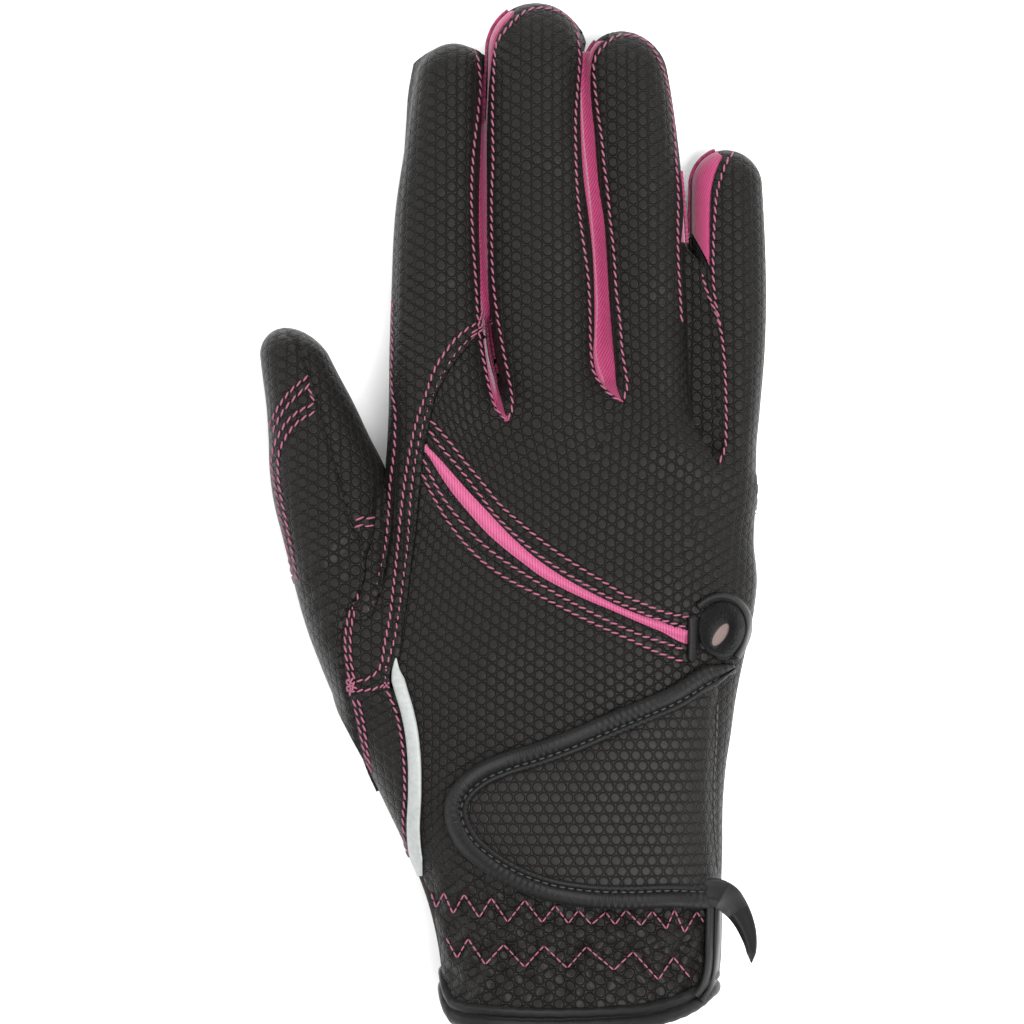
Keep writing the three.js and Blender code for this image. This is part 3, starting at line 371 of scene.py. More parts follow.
# Rows of stitches, which the leather follows down
STITCHED = [
    seen(
        (392, 300), (391.5, 330), (392, 351), (390.8, 376), (392, 394), (395, 411), (395, 428), (394, 453),
        (391.5, 471), (389.4, 489), (389, 506), (386.9, 530), (385, 547.5), (382.5, 560), (378.7, 575),
        (375, 590), (370, 606), (365, 612), (361, 610), (357.5, 601), (359.4, 592)
    ),
    seen((356, 601), (350, 612.5), (347, 627.5), (345.8, 640), (347, 655), (349, 670), (350, 678)),
    seen((356, 608), (352, 625), (351, 640), (351.5, 656), (353.8, 671), (355, 678)),
    seen(
        (477, 323), (466, 330), (455, 340), (445, 353), (437, 365), (431, 379), (426, 395), (419, 414),
        (414, 432), (411, 446), (407.5, 464), (404.4, 485), (401.3, 510), (398.8, 535), (397, 555),
        (395, 576), (393, 592), (390.6, 615), (387.5, 631), (384.5, 646), (382.5, 661), (378.8, 669),
        (370, 676), (362.5, 679), (356, 679)
    ),
    seen(
        (476, 336), (466, 342), (455, 355), (447, 367), (439, 381), (433, 395), (427, 412), (421, 434),
        (418, 446), (415, 465), (412, 485), (410, 510), (408.6, 535), (407, 554), (404.4, 572), (402, 591),
        (399.4, 609), (397.5, 622), (396, 634), (393, 645), (390, 656), (386.5, 666), (386, 677),
        (388, 689), (392, 698), (396, 708), (399, 720), (401.5, 733), (404.5, 763), (405, 791), (403, 820),
        (404, 839), (408, 858)
    ),
    seen((357, 689), (367.5, 688), (375, 687), (381, 684.5), (386.5, 682)),
    seen((354, 697), (359, 722), (365, 753), (369, 768)),
    seen((359, 697), (364, 722), (368, 753), (371, 772)),
    seen(
        (473, 45), (476.5, 54), (478, 64), (480, 83), (478, 108), (475, 134), (472, 166), (471, 202),
        (472, 232), (474, 263), (476, 293), (477, 314), (479, 336), (482, 355), (486, 375), (490, 393),
        (496, 410), (506.5, 421)
    ),
    seen(
        (506.5, 421), (511, 412), (511, 395), (508, 377), (503.5, 355), (499, 330), (495, 304), (492, 273),
        (491, 232), (491, 199), (492.5, 159), (492, 128), (492, 102), (493, 76), (494, 57), (495, 46),
        (499.5, 37), (508, 27), (516, 18), (526, 10), (538, 7), (550, 8), (562, 12), (571, 19), (576, 28),
        (578, 41), (579, 57), (577, 87), (575, 115), (575, 153), (577, 199), (579, 218), (583, 247),
        (587, 276), (589, 314), (590, 352), (592, 371), (600, 385), (610, 396), (619, 401)
    ),
    seen(
        (622, 400), (626, 387), (624, 371), (621, 352), (619, 323), (615.5, 295), (613, 256), (609, 218),
        (607, 194), (603.5, 168), (601, 140), (597, 112), (594, 84), (593.5, 62), (597, 53), (603, 46),
        (610, 39), (619, 34), (630, 34), (641, 37), (651, 46), (660, 62), (667, 84), (671, 107),
        (674, 133), (676, 168), (677.5, 196), (677, 218), (677, 256), (679, 295), (680.5, 323)
    ),
    seen(
        (735, 150), (728, 158), (723, 169), (719.5, 180), (716.5, 191), (714, 216), (713, 232),
        (712.5, 247), (712, 268), (714, 300), (719, 326)
    ),
    seen(
        (696, 262), (700, 272), (707, 295), (715, 314), (720, 333), (723, 362), (724.5, 400), (724.5, 429),
        (723, 450), (717, 463)
    ),
    seen(
        (429, 430), (441, 447), (458, 467), (476, 490), (495, 515), (513, 533), (532, 550), (553, 565),
        (576, 579), (601, 593), (618, 602), (635, 609), (651, 616), (668, 621), (684, 626)
    ),
    seen(
        (430, 420), (446, 438), (464, 461), (483, 484), (501, 506), (519, 522), (538, 538), (561, 555),
        (584, 570), (604, 582), (626, 596), (643, 603), (659, 610), (676, 614), (688, 616)
    ),
    seen(
        (423, 458), (431, 476), (444, 499), (461, 521), (480, 541), (498, 556), (519, 570), (538, 582),
        (561, 596), (584, 608), (610, 621), (626, 628), (643, 635), (659, 640), (676, 646), (681, 648)
    ),
    seen(
        (422, 473), (431, 492), (446, 518), (464, 542), (484, 562), (507, 578), (530, 590), (553, 602),
        (576, 614), (599, 625), (626, 637), (643, 645), (659, 652), (681, 660)
    ),
    seen((309, 376), (291, 391), (278, 408), (268, 428)),
    seen((311, 384), (296, 397), (283, 412), (272, 433)),
    seen((309, 388), (314, 402)),
    seen(
        (315, 404), (300, 411), (288, 421), (279, 435), (273, 449), (271, 466), (274, 480), (280, 515),
        (288, 552), (293, 584)
    ),
    seen(
        (316, 412), (301, 420), (291, 430), (283, 443), (279, 453), (278, 466), (279, 482), (285, 515),
        (292, 550), (297, 580)
    ),
    seen((355, 519), (365, 517.5), (376, 518)),
    seen((354, 526), (365, 525), (375, 526)),
]
ZIGZAGS = [
    seen(
        (431, 890), (436, 905), (444, 889), (453, 910), (464, 890), (479, 913), (491, 893), (507, 917),
        (524, 895), (541, 917), (554, 900), (567, 918), (577, 905), (590, 919), (604, 907), (613, 919),
        (624, 905), (639, 920), (650, 906), (664, 924), (672, 905), (682, 928), (694.5, 908), (702, 919)
    ),
    seen(
        (446, 934), (457, 954), (468, 934), (485, 959), (503, 939), (524, 961), (543, 940), (566, 962),
        (585, 941), (612, 964), (631, 946), (656, 974), (671, 952), (688, 973)
    ),
]
ROW_DEEP, ROW_WIDE = 0.22, 0.55
ZIGZAG_DEEP, ZIGZAG_WIDE = 0.45, 0.9
PUCKER_PITCH = 2.1
PUCKER_HIGH = 0.09
PUCKER_WIDE = 2.2
# Creases and soft swellings: line, height, width
folds = [
    (seen((300, 600), (325, 575), (350, 545), (366, 528)), -0.9, 2.2),
    (seen((305, 626), (330, 600), (356, 568)), -0.7, 2.0),
    (seen((322, 560), (345, 535), (362, 515)), 0.6, 2.2),
    (seen((318, 655), (335, 640), (348, 628)), -0.5, 1.8),
    (seen((430, 925), (500, 932), (570, 928), (640, 932), (700, 925)), 0.5, 2.2),
    (seen((436, 905), (500, 912), (580, 915), (650, 912), (705, 895)), -0.45, 2.4),
    (seen((440, 965), (500, 975), (580, 975), (650, 972), (705, 955)), -0.45, 2.6),
    (seen((410, 560), (430, 600), (460, 640), (500, 670)), 0.35, 4.0),
    (seen((470, 440), (500, 455), (530, 470)), -0.3, 4.0),
    (seen((610, 430), (640, 445), (670, 480)), -0.35, 4.5),
    (seen((650, 560), (690, 590), (730, 600)), 0.5, 4.5),
    (seen((560, 300), (540, 292), (515, 300)), -0.3, 2.5),
    (seen((556, 178), (535, 172), (512, 180)), -0.3, 2.2),
    (seen((458, 290), (436, 296), (412, 290)), -0.3, 2.4),
    (seen((455, 200), (434, 206), (412, 200)), -0.25, 2.2),
    (seen((668, 300), (645, 306), (622, 298)), -0.3, 2.2),
    (seen((660, 190), (640, 196), (615, 188)), -0.25, 2.0),
    (seen((752, 300), (738, 306), (724, 300)), -0.25, 2.0),
]


STITCH_PITCH = 1.95
ELASTIC_MIDDLE, ELASTIC_HALF, ELASTIC_HIGH = 19.5, 15.0, 0.6


def nearest(x, y, line):
    """Distance to a line, and how far along it the nearest of its 0.5 mm steps lies."""
    length = np.linalg.norm(np.diff(line, axis=0), axis=1).sum()
    steps = line_through(line, int(length / 0.5) + 2)
    flat = np.stack([x.ravel(), y.ravel()], -1)
    gap, along = np.full(len(flat), 1e3), np.zeros(len(flat))
    low, high = line.min(0) - 8, line.max(0) + 8
    close = np.flatnonzero(((flat > low) & (flat < high)).all(1))
    for part in np.array_split(close, max(1, len(close) * len(steps) // 4_000_000 + 1)):
        if not len(part):
            continue
        far = np.linalg.norm(flat[part, None] - steps[None], axis=2)
        gap[part], along[part] = far.min(1), far.argmin(1) * 0.5
    return gap.reshape(x.shape), along.reshape(x.shape)


def drawn_in(x, y):
    """How far the leather sinks: a narrow groove along each seam with small puckers across it, and the broad folds."""
    sunk = np.zeros_like(x)
    for line, deep, wide in seams:
        gap, along = nearest(x, y, line)
        sunk -= deep * np.exp(-((gap / wide) ** 2))
        fade = np.exp(-((gap / PUCKER_WIDE) ** 2))
        sunk += PUCKER_HIGH * fade * np.sin(2 * np.pi * along / PUCKER_PITCH + 1.3 * np.sin(along * 0.37))
    for line in STITCHED:
        gap, along = nearest(x, y, line)
        sunk -= ROW_DEEP * np.exp(-((gap / ROW_WIDE) ** 2)) * (1 + 0.5 * np.sin(2 * np.pi * along / STITCH_PITCH))
    for line in ZIGZAGS:
        gap, along = nearest(x, y, line)
        sunk -= ZIGZAG_DEEP * np.exp(-((gap / ZIGZAG_WIDE) ** 2))
    for line, high, wide in folds:
        gap, along = nearest(x, y, line)
        sunk += high * np.exp(-((gap / wide) ** 2)) * (0.75 + 0.25 * np.sin(along * 0.5))
    elastic = np.exp(-(((y - ELASTIC_MIDDLE) / ELASTIC_HALF) ** 4))
    ruffle = np.sin(1.15 * x + 0.9 * np.sin(0.5 * y)) * np.sin(0.62 * y + 0.8 * np.sin(0.4 * x))
    ruffle += 0.6 * np.sin(0.55 * x - 0.45 * y + 1.5 * np.sin(0.31 * x))
    return sunk + ELASTIC_HIGH * elastic * ruffle


def hull(x, y, side):
    """All the tubes run softly into one: the logarithm of the sum of their exponentials."""
    heights = np.stack([tube.height(x, y, side) for tube in tubes]) * side / BLEND
    top = heights.max(0)
    return side * BLEND * (top + np.log(np.exp(heights - top).sum(0)))


def smooth_back(x, y):
    """The back without grooves and puckers, for what lies on top of it."""
    return hull(x, y, 1)


SLOW_WAVE = 0.12


def back(x, y):
    """Height of the glove's back: the tubes as one, the seams' grooves and folds, and slow uneven waves."""
    x, y = np.asarray(x, float), np.asarray(y, float)
    wave = SLOW_WAVE * (np.sin(0.21 * x + 0.6 * np.sin(0.13 * y)) * np.sin(0.17 * y + 0.5) + np.sin(0.33 * y + 0.12 * x))
    return hull(x, y, 1) + drawn_in(x, y) + wave


def under(x, y):
    """Height of the palm side, flat where the glove lies on the table."""
    z = hull(x, y, -1)
    return np.maximum(z, 0.0)


def crowd(count, start=0.7, end=0.7):
    """Shares from 0 to 1 that lie closer together towards the ends that turn down steeply."""
    t = np.linspace(0, 1, count)
    return t - start * np.sin(2 * np.pi * t) / (2 * np.pi) * (1 - t) - end * np.sin(2 * np.pi * t) / (2 * np.pi) * t


def raised(x, y, height=back):
    """Points at the glove's back above places."""
    return np.stack([x, y, height(x, y)], -1)


def wrap_map(points):
    """Pattern places in millimetres: lengths along each row from its middle, lengths up the middle column."""
    p = points
    step = np.linalg.norm(np.diff(p, axis=1), axis=2)
    u = np.concatenate([np.zeros((len(p), 1)), np.cumsum(step, 1)], 1)
    mid = p.shape[1] // 2
    u = u - u[:, mid : mid + 1] + p[:, mid : mid + 1, 0]
    climb = np.linalg.norm(np.diff(p[:, mid], axis=0), axis=1) - np.abs(np.diff(p[:, mid, 1]))
    v = p[:, :, 1] + np.r_[0, np.cumsum(np.maximum(climb, 0))][:, None]
    return np.stack([u, v], -1)


def sheet_object(name, grids, material, outward=1):
    """One mesh of several grids of points; each four neighbours are a face, and grids that meet are merged."""
    places, maps, corners, start = [], [], [], 0
    for points, pattern in grids:
        rows_, cols_ = points.shape[:2]
        number = start + np.arange(rows_ * cols_).reshape(rows_, cols_)
        quad = np.stack([number[:-1, :-1], number[:-1, 1:], number[1:, 1:], number[1:, :-1]], -1).reshape(-1, 4)
        corners.append(quad if outward > 0 else quad[:, ::-1])
        places.append(points.reshape(-1, 3))
        maps.append(pattern.reshape(-1, 2))
        start += rows_ * cols_
    return mesh_object(name, np.concatenate(places), np.concatenate(maps), np.concatenate(corners), material)


def mesh_object(name, places, maps, corners, material):
    """An object of four-cornered faces with its pattern map; places are millimetres from the cuff's middle."""
    places = (places + GLOVE_SHIFT) / 1000
    mesh = bpy.data.meshes.new(name)
    mesh.vertices.add(len(places))
    mesh.vertices.foreach_set("co", places.ravel())
    mesh.loops.add(corners.size)
    mesh.loops.foreach_set("vertex_index", corners.ravel().astype(np.int32))
    mesh.polygons.add(len(corners))
    mesh.polygons.foreach_set("loop_start", np.arange(0, corners.size, 4, dtype=np.int32))
    mesh.polygons.foreach_set("loop_total", np.full(len(corners), 4, np.int32))
    mesh.update(calc_edges=True)
    layer = mesh.uv_layers.new(name="pattern")
    layer.data.foreach_set("uv", maps[corners.ravel()].ravel().astype(np.float32))
    work = bmesh.new()
    work.from_mesh(mesh)
    bmesh.ops.remove_doubles(work, verts=work.verts, dist=2e-5)
    work.to_mesh(mesh)
    work.free()
    mesh.validate()
    mesh.polygons.foreach_set("use_smooth", np.ones(len(mesh.polygons), bool))
    mesh.materials.append(material)
    piece = bpy.data.objects.new(name, mesh)
    bpy.context.collection.objects.link(piece)
    return piece


def thicken(piece, thick):
    """A wall of even thickness inwards from the outside."""
    wall = piece.modifiers.new("wall", "SOLIDIFY")
    wall.thickness = thick / 1000
    wall.offset = -1
    return piece


def put_on(piece, slot, *nodes, cut=None, held="stretched", on=(), filled=None):
    """The piece rides on the glove and stands for CAD nodes, which are hidden. slot is not used. cut is a sheet's
    width, length and area before it was sewn, in millimetres, and is not used; filled says how tight a stuffed piece
    is, and is not used."""
    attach(piece, "root")
    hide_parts(*nodes)


DISC_PITCH = 2.75
# Painted shade: the darker colour below is painted into the grooves round the discs, and into darker random patches;
# the lighter one is the leather's lit colour.
LEATHER_SHADE_AND_PATCHES = (0.0010, 0.0008, 0.0007)
LEATHER_LIT = (0.0058, 0.0050, 0.0045)


def embossed_leather(name, pitch=DISC_PITCH, upright=True, tone=LEATHER_SHADE_AND_PATCHES, lit=LEATHER_LIT, depth=0.5):
    """Leather pressed with discs in close rows. Each place is measured to the nearest point of two rectangular
    lattices, one set half a step off the other; a ring-shaped groove runs round each disc, the land between is higher.
    The groove is also painted dark in the base colour as shade: tone is that painted-shade colour, lit the unshaded
    one, and slow random patches shift the mix a little."""
    material, nodes, links, shader = new_material(name)
    pattern = nodes.new("ShaderNodeUVMap")
    pattern.uv_map = "pattern"
    cell = (pitch * math.sqrt(3), pitch, 1) if upright else (pitch, pitch * math.sqrt(3), 1)

    def vector(operation, first, second):
        node = nodes.new("ShaderNodeVectorMath")
        node.operation = operation
        for socket, value in zip(node.inputs, (first, second)):
            if value is None:
                continue
            if isinstance(value, tuple):
                socket.default_value = value
            else:
                links.new(value, socket)
        return node.outputs["Value"] if operation == "LENGTH" else node.outputs["Vector"]

    def number(operation, *values):
        node = nodes.new("ShaderNodeMath")
        node.operation = operation
        for socket, value in zip(node.inputs, values):
            if isinstance(value, (int, float)):
                socket.default_value = value
            else:
                links.new(value, socket)
        return node.outputs["Value"]

    def ramp(value, *stops):
        node = nodes.new("ShaderNodeValToRGB")
        links.new(value, node.inputs["Fac"])
        while len(node.color_ramp.elements) < len(stops):
            node.color_ramp.elements.new(0.5)
        for element, (place, level) in zip(node.color_ramp.elements, stops):
            element.position = place
            element.color = (level, level, level, 1)
        node.color_ramp.interpolation = "EASE"
        return node.outputs["Color"]

    gaps = []
    for offset in ((0.0, 0.0, 0.0), (0.5, 0.5, 0.0)):
        scaled = vector("DIVIDE", pattern.outputs["UV"], cell)
        shifted = vector("ADD", scaled, offset)
        wrapped = vector("SUBTRACT", vector("FRACTION", shifted, None), (0.5, 0.5, 0.0))
        flat = vector("MULTIPLY", wrapped, (cell[0], cell[1], 0.0))
        gaps.append(vector("LENGTH", flat, None))
    gap = number("DIVIDE", number("MINIMUM", *gaps), pitch)
    relief = ramp(gap, (0.0, 0.92), (0.28, 0.88), (0.37, 0.72), (0.43, 0.0), (0.475, 0.7), (0.54, 0.88))
    # Painted shade: the base colour falls nearly to the dark tone in each ring groove, where shade gathers.
    shade = ramp(gap, (0.0, 0.9), (0.34, 0.86), (0.395, 0.66), (0.43, 0.05), (0.465, 0.7), (0.54, 1.0))
    place = nodes.new("ShaderNodeTexCoord")
    grain = nodes.new("ShaderNodeTexNoise")
    grain.inputs["Scale"].default_value = 2600
    grain.inputs["Detail"].default_value = 4
    links.new(place.outputs["Object"], grain.inputs["Vector"])
    patches = nodes.new("ShaderNodeTexNoise")
    patches.inputs["Scale"].default_value = 70
    patches.inputs["Detail"].default_value = 5
    links.new(place.outputs["Object"], patches.inputs["Vector"])
    # The painted groove shade, with random patches added, sets the mix between the dark tone and the lit colour.
    groove_shade_and_patches = number("MULTIPLY", number("ADD", shade, number("MULTIPLY", patches.outputs["Fac"], 0.5)), 0.75)
    two_tones(nodes, links, shader, tone, lit, groove_shade_and_patches)
    rough = number("ADD", number("MULTIPLY", grain.outputs["Fac"], 0.24), 0.3)
    links.new(rough, shader.inputs["Roughness"])
    shader.inputs["Specular IOR Level"].default_value = 0.125
    shader.inputs["Sheen Weight"].default_value = 0.008
    shader.inputs["Sheen Roughness"].default_value = 0.5
    height = number("ADD", relief, number("MULTIPLY", grain.outputs["Fac"], 0.2))
    press(nodes, links, shader, height, 1.0, depth / 1000)
    return material


back_leather = embossed_leather("embossed_leather")
SHAFT_ROWS = 150


def round_tip(tube, y, top):
    """0 up to the seam's end and 1 at the very tip, where the leather covers the whole width."""
    return np.clip((y - top) / (tube.end - top), 0, 1) ** 1.5


def finger_back(tube, left, right, bottom, columns_, rows_, left_round=0.5, right_round=0.5):
    """The leather on a finger's back. Columns keep their share of the width between the two side seams, from the
    line at its root to the round tip, where they all meet."""
    across = crowd(columns_, left_round, right_round)

    def sides(y):
        mid, half, _, _ = tube.section(y)
        half = np.maximum(half, 1e-3)
        found = []
        for line, side in ((left, -1), (right, 1)):
            if line is None:
                found.append(mid + side * half)
                continue
            top = line[:, 1].max()
            low = np.minimum(y, top)
            mid_low, half_low, _, _ = tube.section(low)
            share = np.clip((reach(line, low) - mid_low) / half_low, -3, 3)
            share = share + (side - share) * round_tip(tube, y, top)
            found.append(mid + share * half)
        return found

    y = np.full(columns_, float(bottom[:, 1].mean()))
    for _ in range(8):
        low, high = sides(y)
        x = low + (high - low) * across
        y = reach_up(bottom, x)
    climb = np.sin(np.linspace(0, np.pi / 2, rows_)) * 0.35 + np.linspace(0, 1, rows_) * 0.65
    y_all = y[None] + (tube.end - 0.02 - y[None]) * climb[:, None]
    low, high = sides(y_all)
    x_all = low + (high - low) * across[None]
    return np.stack([x_all, y_all], -1)


def reach_up(line, x):
    """y of a line at places x over the picture."""
    p = line_through(line, 300)
    p = p[np.argsort(p[:, 0])]
    return np.interp(x, p[:, 0], p[:, 1])


def lifted(flat):
    """A grid of places set on the back, with its pattern map."""
    points = raised(flat[..., 0], flat[..., 1])
    return points, wrap_map(points)


V1, V2, V3 = seen(V_INDEX)[0], seen(V_MIDDLE)[0], seen(V_RING)[0]
middle_back = lifted(finger_back(middle, MIDDLE_LEFT, MIDDLE_RIGHT, np.array([V1, V2]), 48, SHAFT_ROWS))
ring_back = lifted(finger_back(ring, RING_LEFT, RING_RIGHT, np.array([V2, V3]), 42, SHAFT_ROWS))
little_foot = np.array([V3, [little.line + 12, seen((757, 465))[0, 1]]])
little_back = lifted(finger_back(little, LITTLE_LEFT, None, little_foot, 36, SHAFT_ROWS, 0.4, 0.95))

# The palm's part runs from the vent's upper edge and the slit to the three fingers' roots
crown = np.concatenate([grid[0][0, :, :2] for grid in (middle_back, ring_back, little_back)])
crown_map = np.concatenate([grid[1][0] for grid in (middle_back, ring_back, little_back)])
vent_and_slit = np.concatenate([VENT_ABOVE[:-1], SLIT_LINE])
PALM_BACK_ROWS = 130
t = np.linspace(0, 1, PALM_BACK_ROWS)[:, None]
s = np.linspace(0, 1, len(crown)) ** 0.92
foot_steps = line_through(vent_and_slit, 400)
foot = np.stack([np.interp(s, np.linspace(0, 1, 400), foot_steps[:, k]) for k in (0, 1)], -1)
palm_back = foot[None] * (1 - t[..., None]) + crown[None] * t[..., None]
edge = np.maximum(palm.edge(palm_back[:, -1, 1], 1), little.section(palm_back[:, -1, 1])[0])
near_root = np.clip((palm_back[:, -1, 1] - seen((757, 545))[0, 1]) / 16, 0, 1)
edge = edge * (1 - near_root) + palm_back[-1, -1, 0] * near_root
fit = s[None] ** 6 * (edge - palm_back[:, -1, 0])[:, None]
palm_back[..., 0] += fit
palm_points = raised(palm_back[..., 0], palm_back[..., 1])
palm_map = wrap_map(palm_points)
palm_map = palm_map + (crown_map - palm_map[-1])[None] * t[..., None] ** 2

# The corner between the arc seam and the index finger's knit
corner_low = palm_back[:, 0]
vent_end = np.argmin(np.abs(ARC_EDGE[:, 1] - corner_low[0, 1]))
corner_left = line_through(ARC_EDGE[: vent_end + 1][::-1], 90)
corner_right = line_through(INDEX_RIGHT[: np.argmin(np.abs(INDEX_RIGHT[:, 1] - ARC_EDGE[0, 1])) + 1], 90)
corner_left[0], corner_left[-1] = corner_low[0], corner_right[-1]
corner_right[0] = corner_low[-1]
side_share = np.linspace(0, 1, PALM_BACK_ROWS)[None, :, None]
ruled = corner_left[:, None] * (1 - side_share) + corner_right[:, None] * side_share
base_bend = corner_low[None] - (corner_low[0] * (1 - side_share) + corner_low[-1] * side_share)
corner = ruled + base_bend * (1 - np.linspace(0, 1, 90)[:, None, None])
corner_points = raised(corner[..., 0], corner[..., 1])
corner_map = corner_points[..., :2]
corner_map = corner_map + (palm_map[:, 0] - palm_back[:, 0])[None] * (1 - np.linspace(0, 1, 90)[:, None, None]) ** 2

knuckle_panel = sheet_object(
    "knuckle_leather",
    [middle_back, ring_back, little_back, (palm_points, palm_map), (corner_points, corner_map)],
    back_leather,
)
thicken(knuckle_panel, LEATHER_THICK)
put_on(knuckle_panel, "embossed_leather", "knuckle_panel", cut=(92, 150, 8300), on=["palm_panel"])


# ---- Index finger: its back and its outer side ----
# The back runs from the tip down beside the thumb to the bar tack; the narrow strip outside it ends in a round flap.
INDEX_LEFT = np.concatenate([INDEX_SEAM[:-3], seen((375.5, 602), (354, 605.5)), FLAP_EDGE[10:16]])
INDEX_INNER = np.concatenate([ARC_EDGE[::-1], INDEX_RIGHT[INDEX_RIGHT[:, 1] > ARC_EDGE[0, 1] + 1]])
INDEX_FOOT = seen((348, 690.5), (362, 691), (376, 689.5), (391, 688))
LAP_HIGH, LAP_WIDE = 0.5, 2.6
index_points, index_map = lifted(finger_back(index, INDEX_LEFT, INDEX_INNER, INDEX_FOOT, 60, 330, 0.85, 0.5))
lap_gap = nearest(index_points[..., 0], index_points[..., 1], ARC_EDGE)[0]
index_points[..., 2] += LAP_HIGH * np.exp(-((lap_gap / LAP_WIDE) ** 2))
index_back = index_points, index_map
index_leather = sheet_object("index_leather", [index_back], back_leather)
thicken(index_leather, LEATHER_THICK)
put_on(index_leather, "embossed_leather", "index_panel", cut=(36, 148, 2600), on=["knuckle_panel"])


def level_of(x, y):
    """Height half way between the back and the palm side."""
    return (hull(x, y, 1) + hull(x, y, -1)) / 2


RIM_STEP = 0.3


def closed_sides(grid, left=False, right=False, side=1):
    """Adds a column at an outer edge, half way down, where the back (side 1) and the palm side (-1) meet."""
    points = grid[0].copy()
    extra = []
    for column, wanted in ((0, left), (-1, right)):
        if wanted:
            rim = points[:, column].copy()
            level = level_of(rim[:, 0], rim[:, 1])
            points[:, column, 2] = side * np.maximum(side * points[:, column, 2], side * level + RIM_STEP)
            rim[:, 2] = level
            extra.append((column, rim))
    for column, rim in extra:
        points = np.concatenate([rim[:, None], points] if column == 0 else [points, rim[:, None]], 1)
    return points, wrap_map(points)


def between(left, right, y, count, left_round=0.6, right_round=0.6):
    """Rows at heights y, each from a left to a right place."""
    share = crowd(count, left_round, right_round)[None]
    x = left[:, None] * (1 - share) + right[:, None] * share
    return np.stack([x, np.broadcast_to(y[:, None], x.shape)], -1)


def level_y(picture_y):
    return (CUFF_MIDDLE[1] - picture_y) * PICTURE_MM


def tube_edge(tube, y, side):
    mid, half, _, _ = tube.section(y)
    return mid + side * half


FLAP_ROUND = seen((365, 619), (359, 616), (355.5, 611), (353, 605))
y = np.linspace(level_y(619), level_y(153), 320)
outer = np.minimum(tube_edge(index, y, -1), palm.edge(y, -1))
outer = np.where(y > level_y(440), tube_edge(index, y, -1), outer)
flap_left = np.where(y < level_y(474), reach(FLAP_EDGE, y), np.minimum(outer, reach(INDEX_SEAM, y)))
flap_left = np.where(y < level_y(605), reach(FLAP_ROUND, y), flap_left)
strip = lifted(between(flap_left, np.maximum(reach(INDEX_SEAM, y), flap_left + 0.05), y, 26, 0.9, 0.3))
strip[0][..., 2] += LAP_HIGH * np.clip((level_y(500) - strip[0][..., 1]) / 14, 0, 1)
index_strip = sheet_object("index_side_leather", [closed_sides(strip, left=True)], back_leather)
thicken(index_strip, LEATHER_THICK)
put_on(index_strip, "embossed_leather", "index_side_panel", cut=(16, 106, 900), on=["index_panel"])

# ---- Thumb ----
# A leather patch over its back and outer side, sewn to a second one that faces the index finger.
THUMB_INNER = np.concatenate([THUMB_SEAM, seen((364.5, 552)), FLAP_EDGE[FLAP_EDGE[:, 1] < level_y(558)]])
CROTCH = level_y(471)


def thumb_outer(y):
    on_thumb = tube_edge(thumb, y, -1)
    both = np.minimum(on_thumb, palm.edge(y, -1))
    return np.where(y > CROTCH + 4, on_thumb, np.where(y < thumb.root, palm.edge(y, -1), both))


def thumb_inner_edge(y):
    return np.where(y > CROTCH, tube_edge(thumb, y, 1), reach(FLAP_EDGE, y))


def thumb_grid(left, right, low, count, rows_, left_round, right_round, high=None):
    climb = np.sin(np.linspace(0, np.pi / 2, rows_)) * 0.3 + np.linspace(0, 1, rows_) * 0.7
    y = low + ((thumb.end - 0.02 if high is None else high) - low) * climb
    a, b = left(y), right(y)
    return between(np.minimum(a, b), b, y, count, left_round, right_round)


def thumb_seam_at(y):
    seam = reach(THUMB_INNER, y)
    inside, outside = tube_edge(thumb, y, 1), tube_edge(thumb, y, -1)
    return np.where(y > CROTCH, np.clip(seam, outside, inside), seam)


TURNED_TOP = level_y(338)


def thumb_back_edge(y):
    over = np.clip((y - TURNED_TOP + 1.5) / 1.5, 0, 1)
    return thumb_seam_at(y) * (1 - over) + tube_edge(thumb, y, 1) * over


thumb_back = lifted(thumb_grid(thumb_outer, thumb_back_edge, level_y(791), 64, 260, 0.95, 0.5))
thumb_back[0][-1, :, 2] = level_of(*thumb_back[0][-1, :, :2].T)
thumb_turned = lifted(thumb_grid(thumb_seam_at, thumb_inner_edge, level_y(559), 30, 170, 0.3, 0.9, TURNED_TOP))


def lower_half(tube, low, count, rows_):
    """The side of a finger that lies on the table, from edge to edge."""
    climb = np.sin(np.linspace(0, np.pi / 2, rows_)) * 0.35 + np.linspace(0, 1, rows_) * 0.65
    y = low + (tube.end - 0.02 - low) * climb
    flat = between(tube_edge(tube, y, 1), tube_edge(tube, y, -1), y, count, 0.95, 0.95)
    points = raised(flat[..., 0], flat[..., 1], lambda x, y: np.maximum(tube.height(x, y, -1), 0.0))
    return points, wrap_map(points)


thumb_under = lower_half(thumb, thumb.root, 40, 150)
thumb_leather = sheet_object("thumb_leather", [closed_sides(thumb_back, left=True), thumb_under], back_leather)
thicken(thumb_leather, LEATHER_THICK)
put_on(thumb_leather, "embossed_leather", "thumb_panel", cut=(66, 108, 5000), on=["palm_panel"])
thumb_inner = sheet_object("thumb_inner_leather", [closed_sides(thumb_turned, right=True)], back_leather)
thicken(thumb_inner, LEATHER_THICK)
put_on(thumb_inner, "embossed_leather", "thumb_gusset", cut=(28, 55, 830), on=["thumb_panel"])

# ---- Side of the hand beside the piping ----
y = np.linspace(level_y(874), level_y(686), 150)
side_left = np.where(y < level_y(790), palm.edge(y, -1), np.maximum(reach(FLAP_EDGE, y), palm.edge(y, -1)))
side_right = reach(PIPING_LINE, y)
side_grid = lifted(between(side_left, np.maximum(side_right, side_left + 0.1), y, 40, 0.9, 0.3))
side_leather = sheet_object("side_leather", [closed_sides(side_grid, left=True)], back_leather)
thicken(side_leather, LEATHER_THICK)
put_on(side_leather, "embossed_leather", "side_panel", cut=(21, 45, 710), on=["palm_panel"])

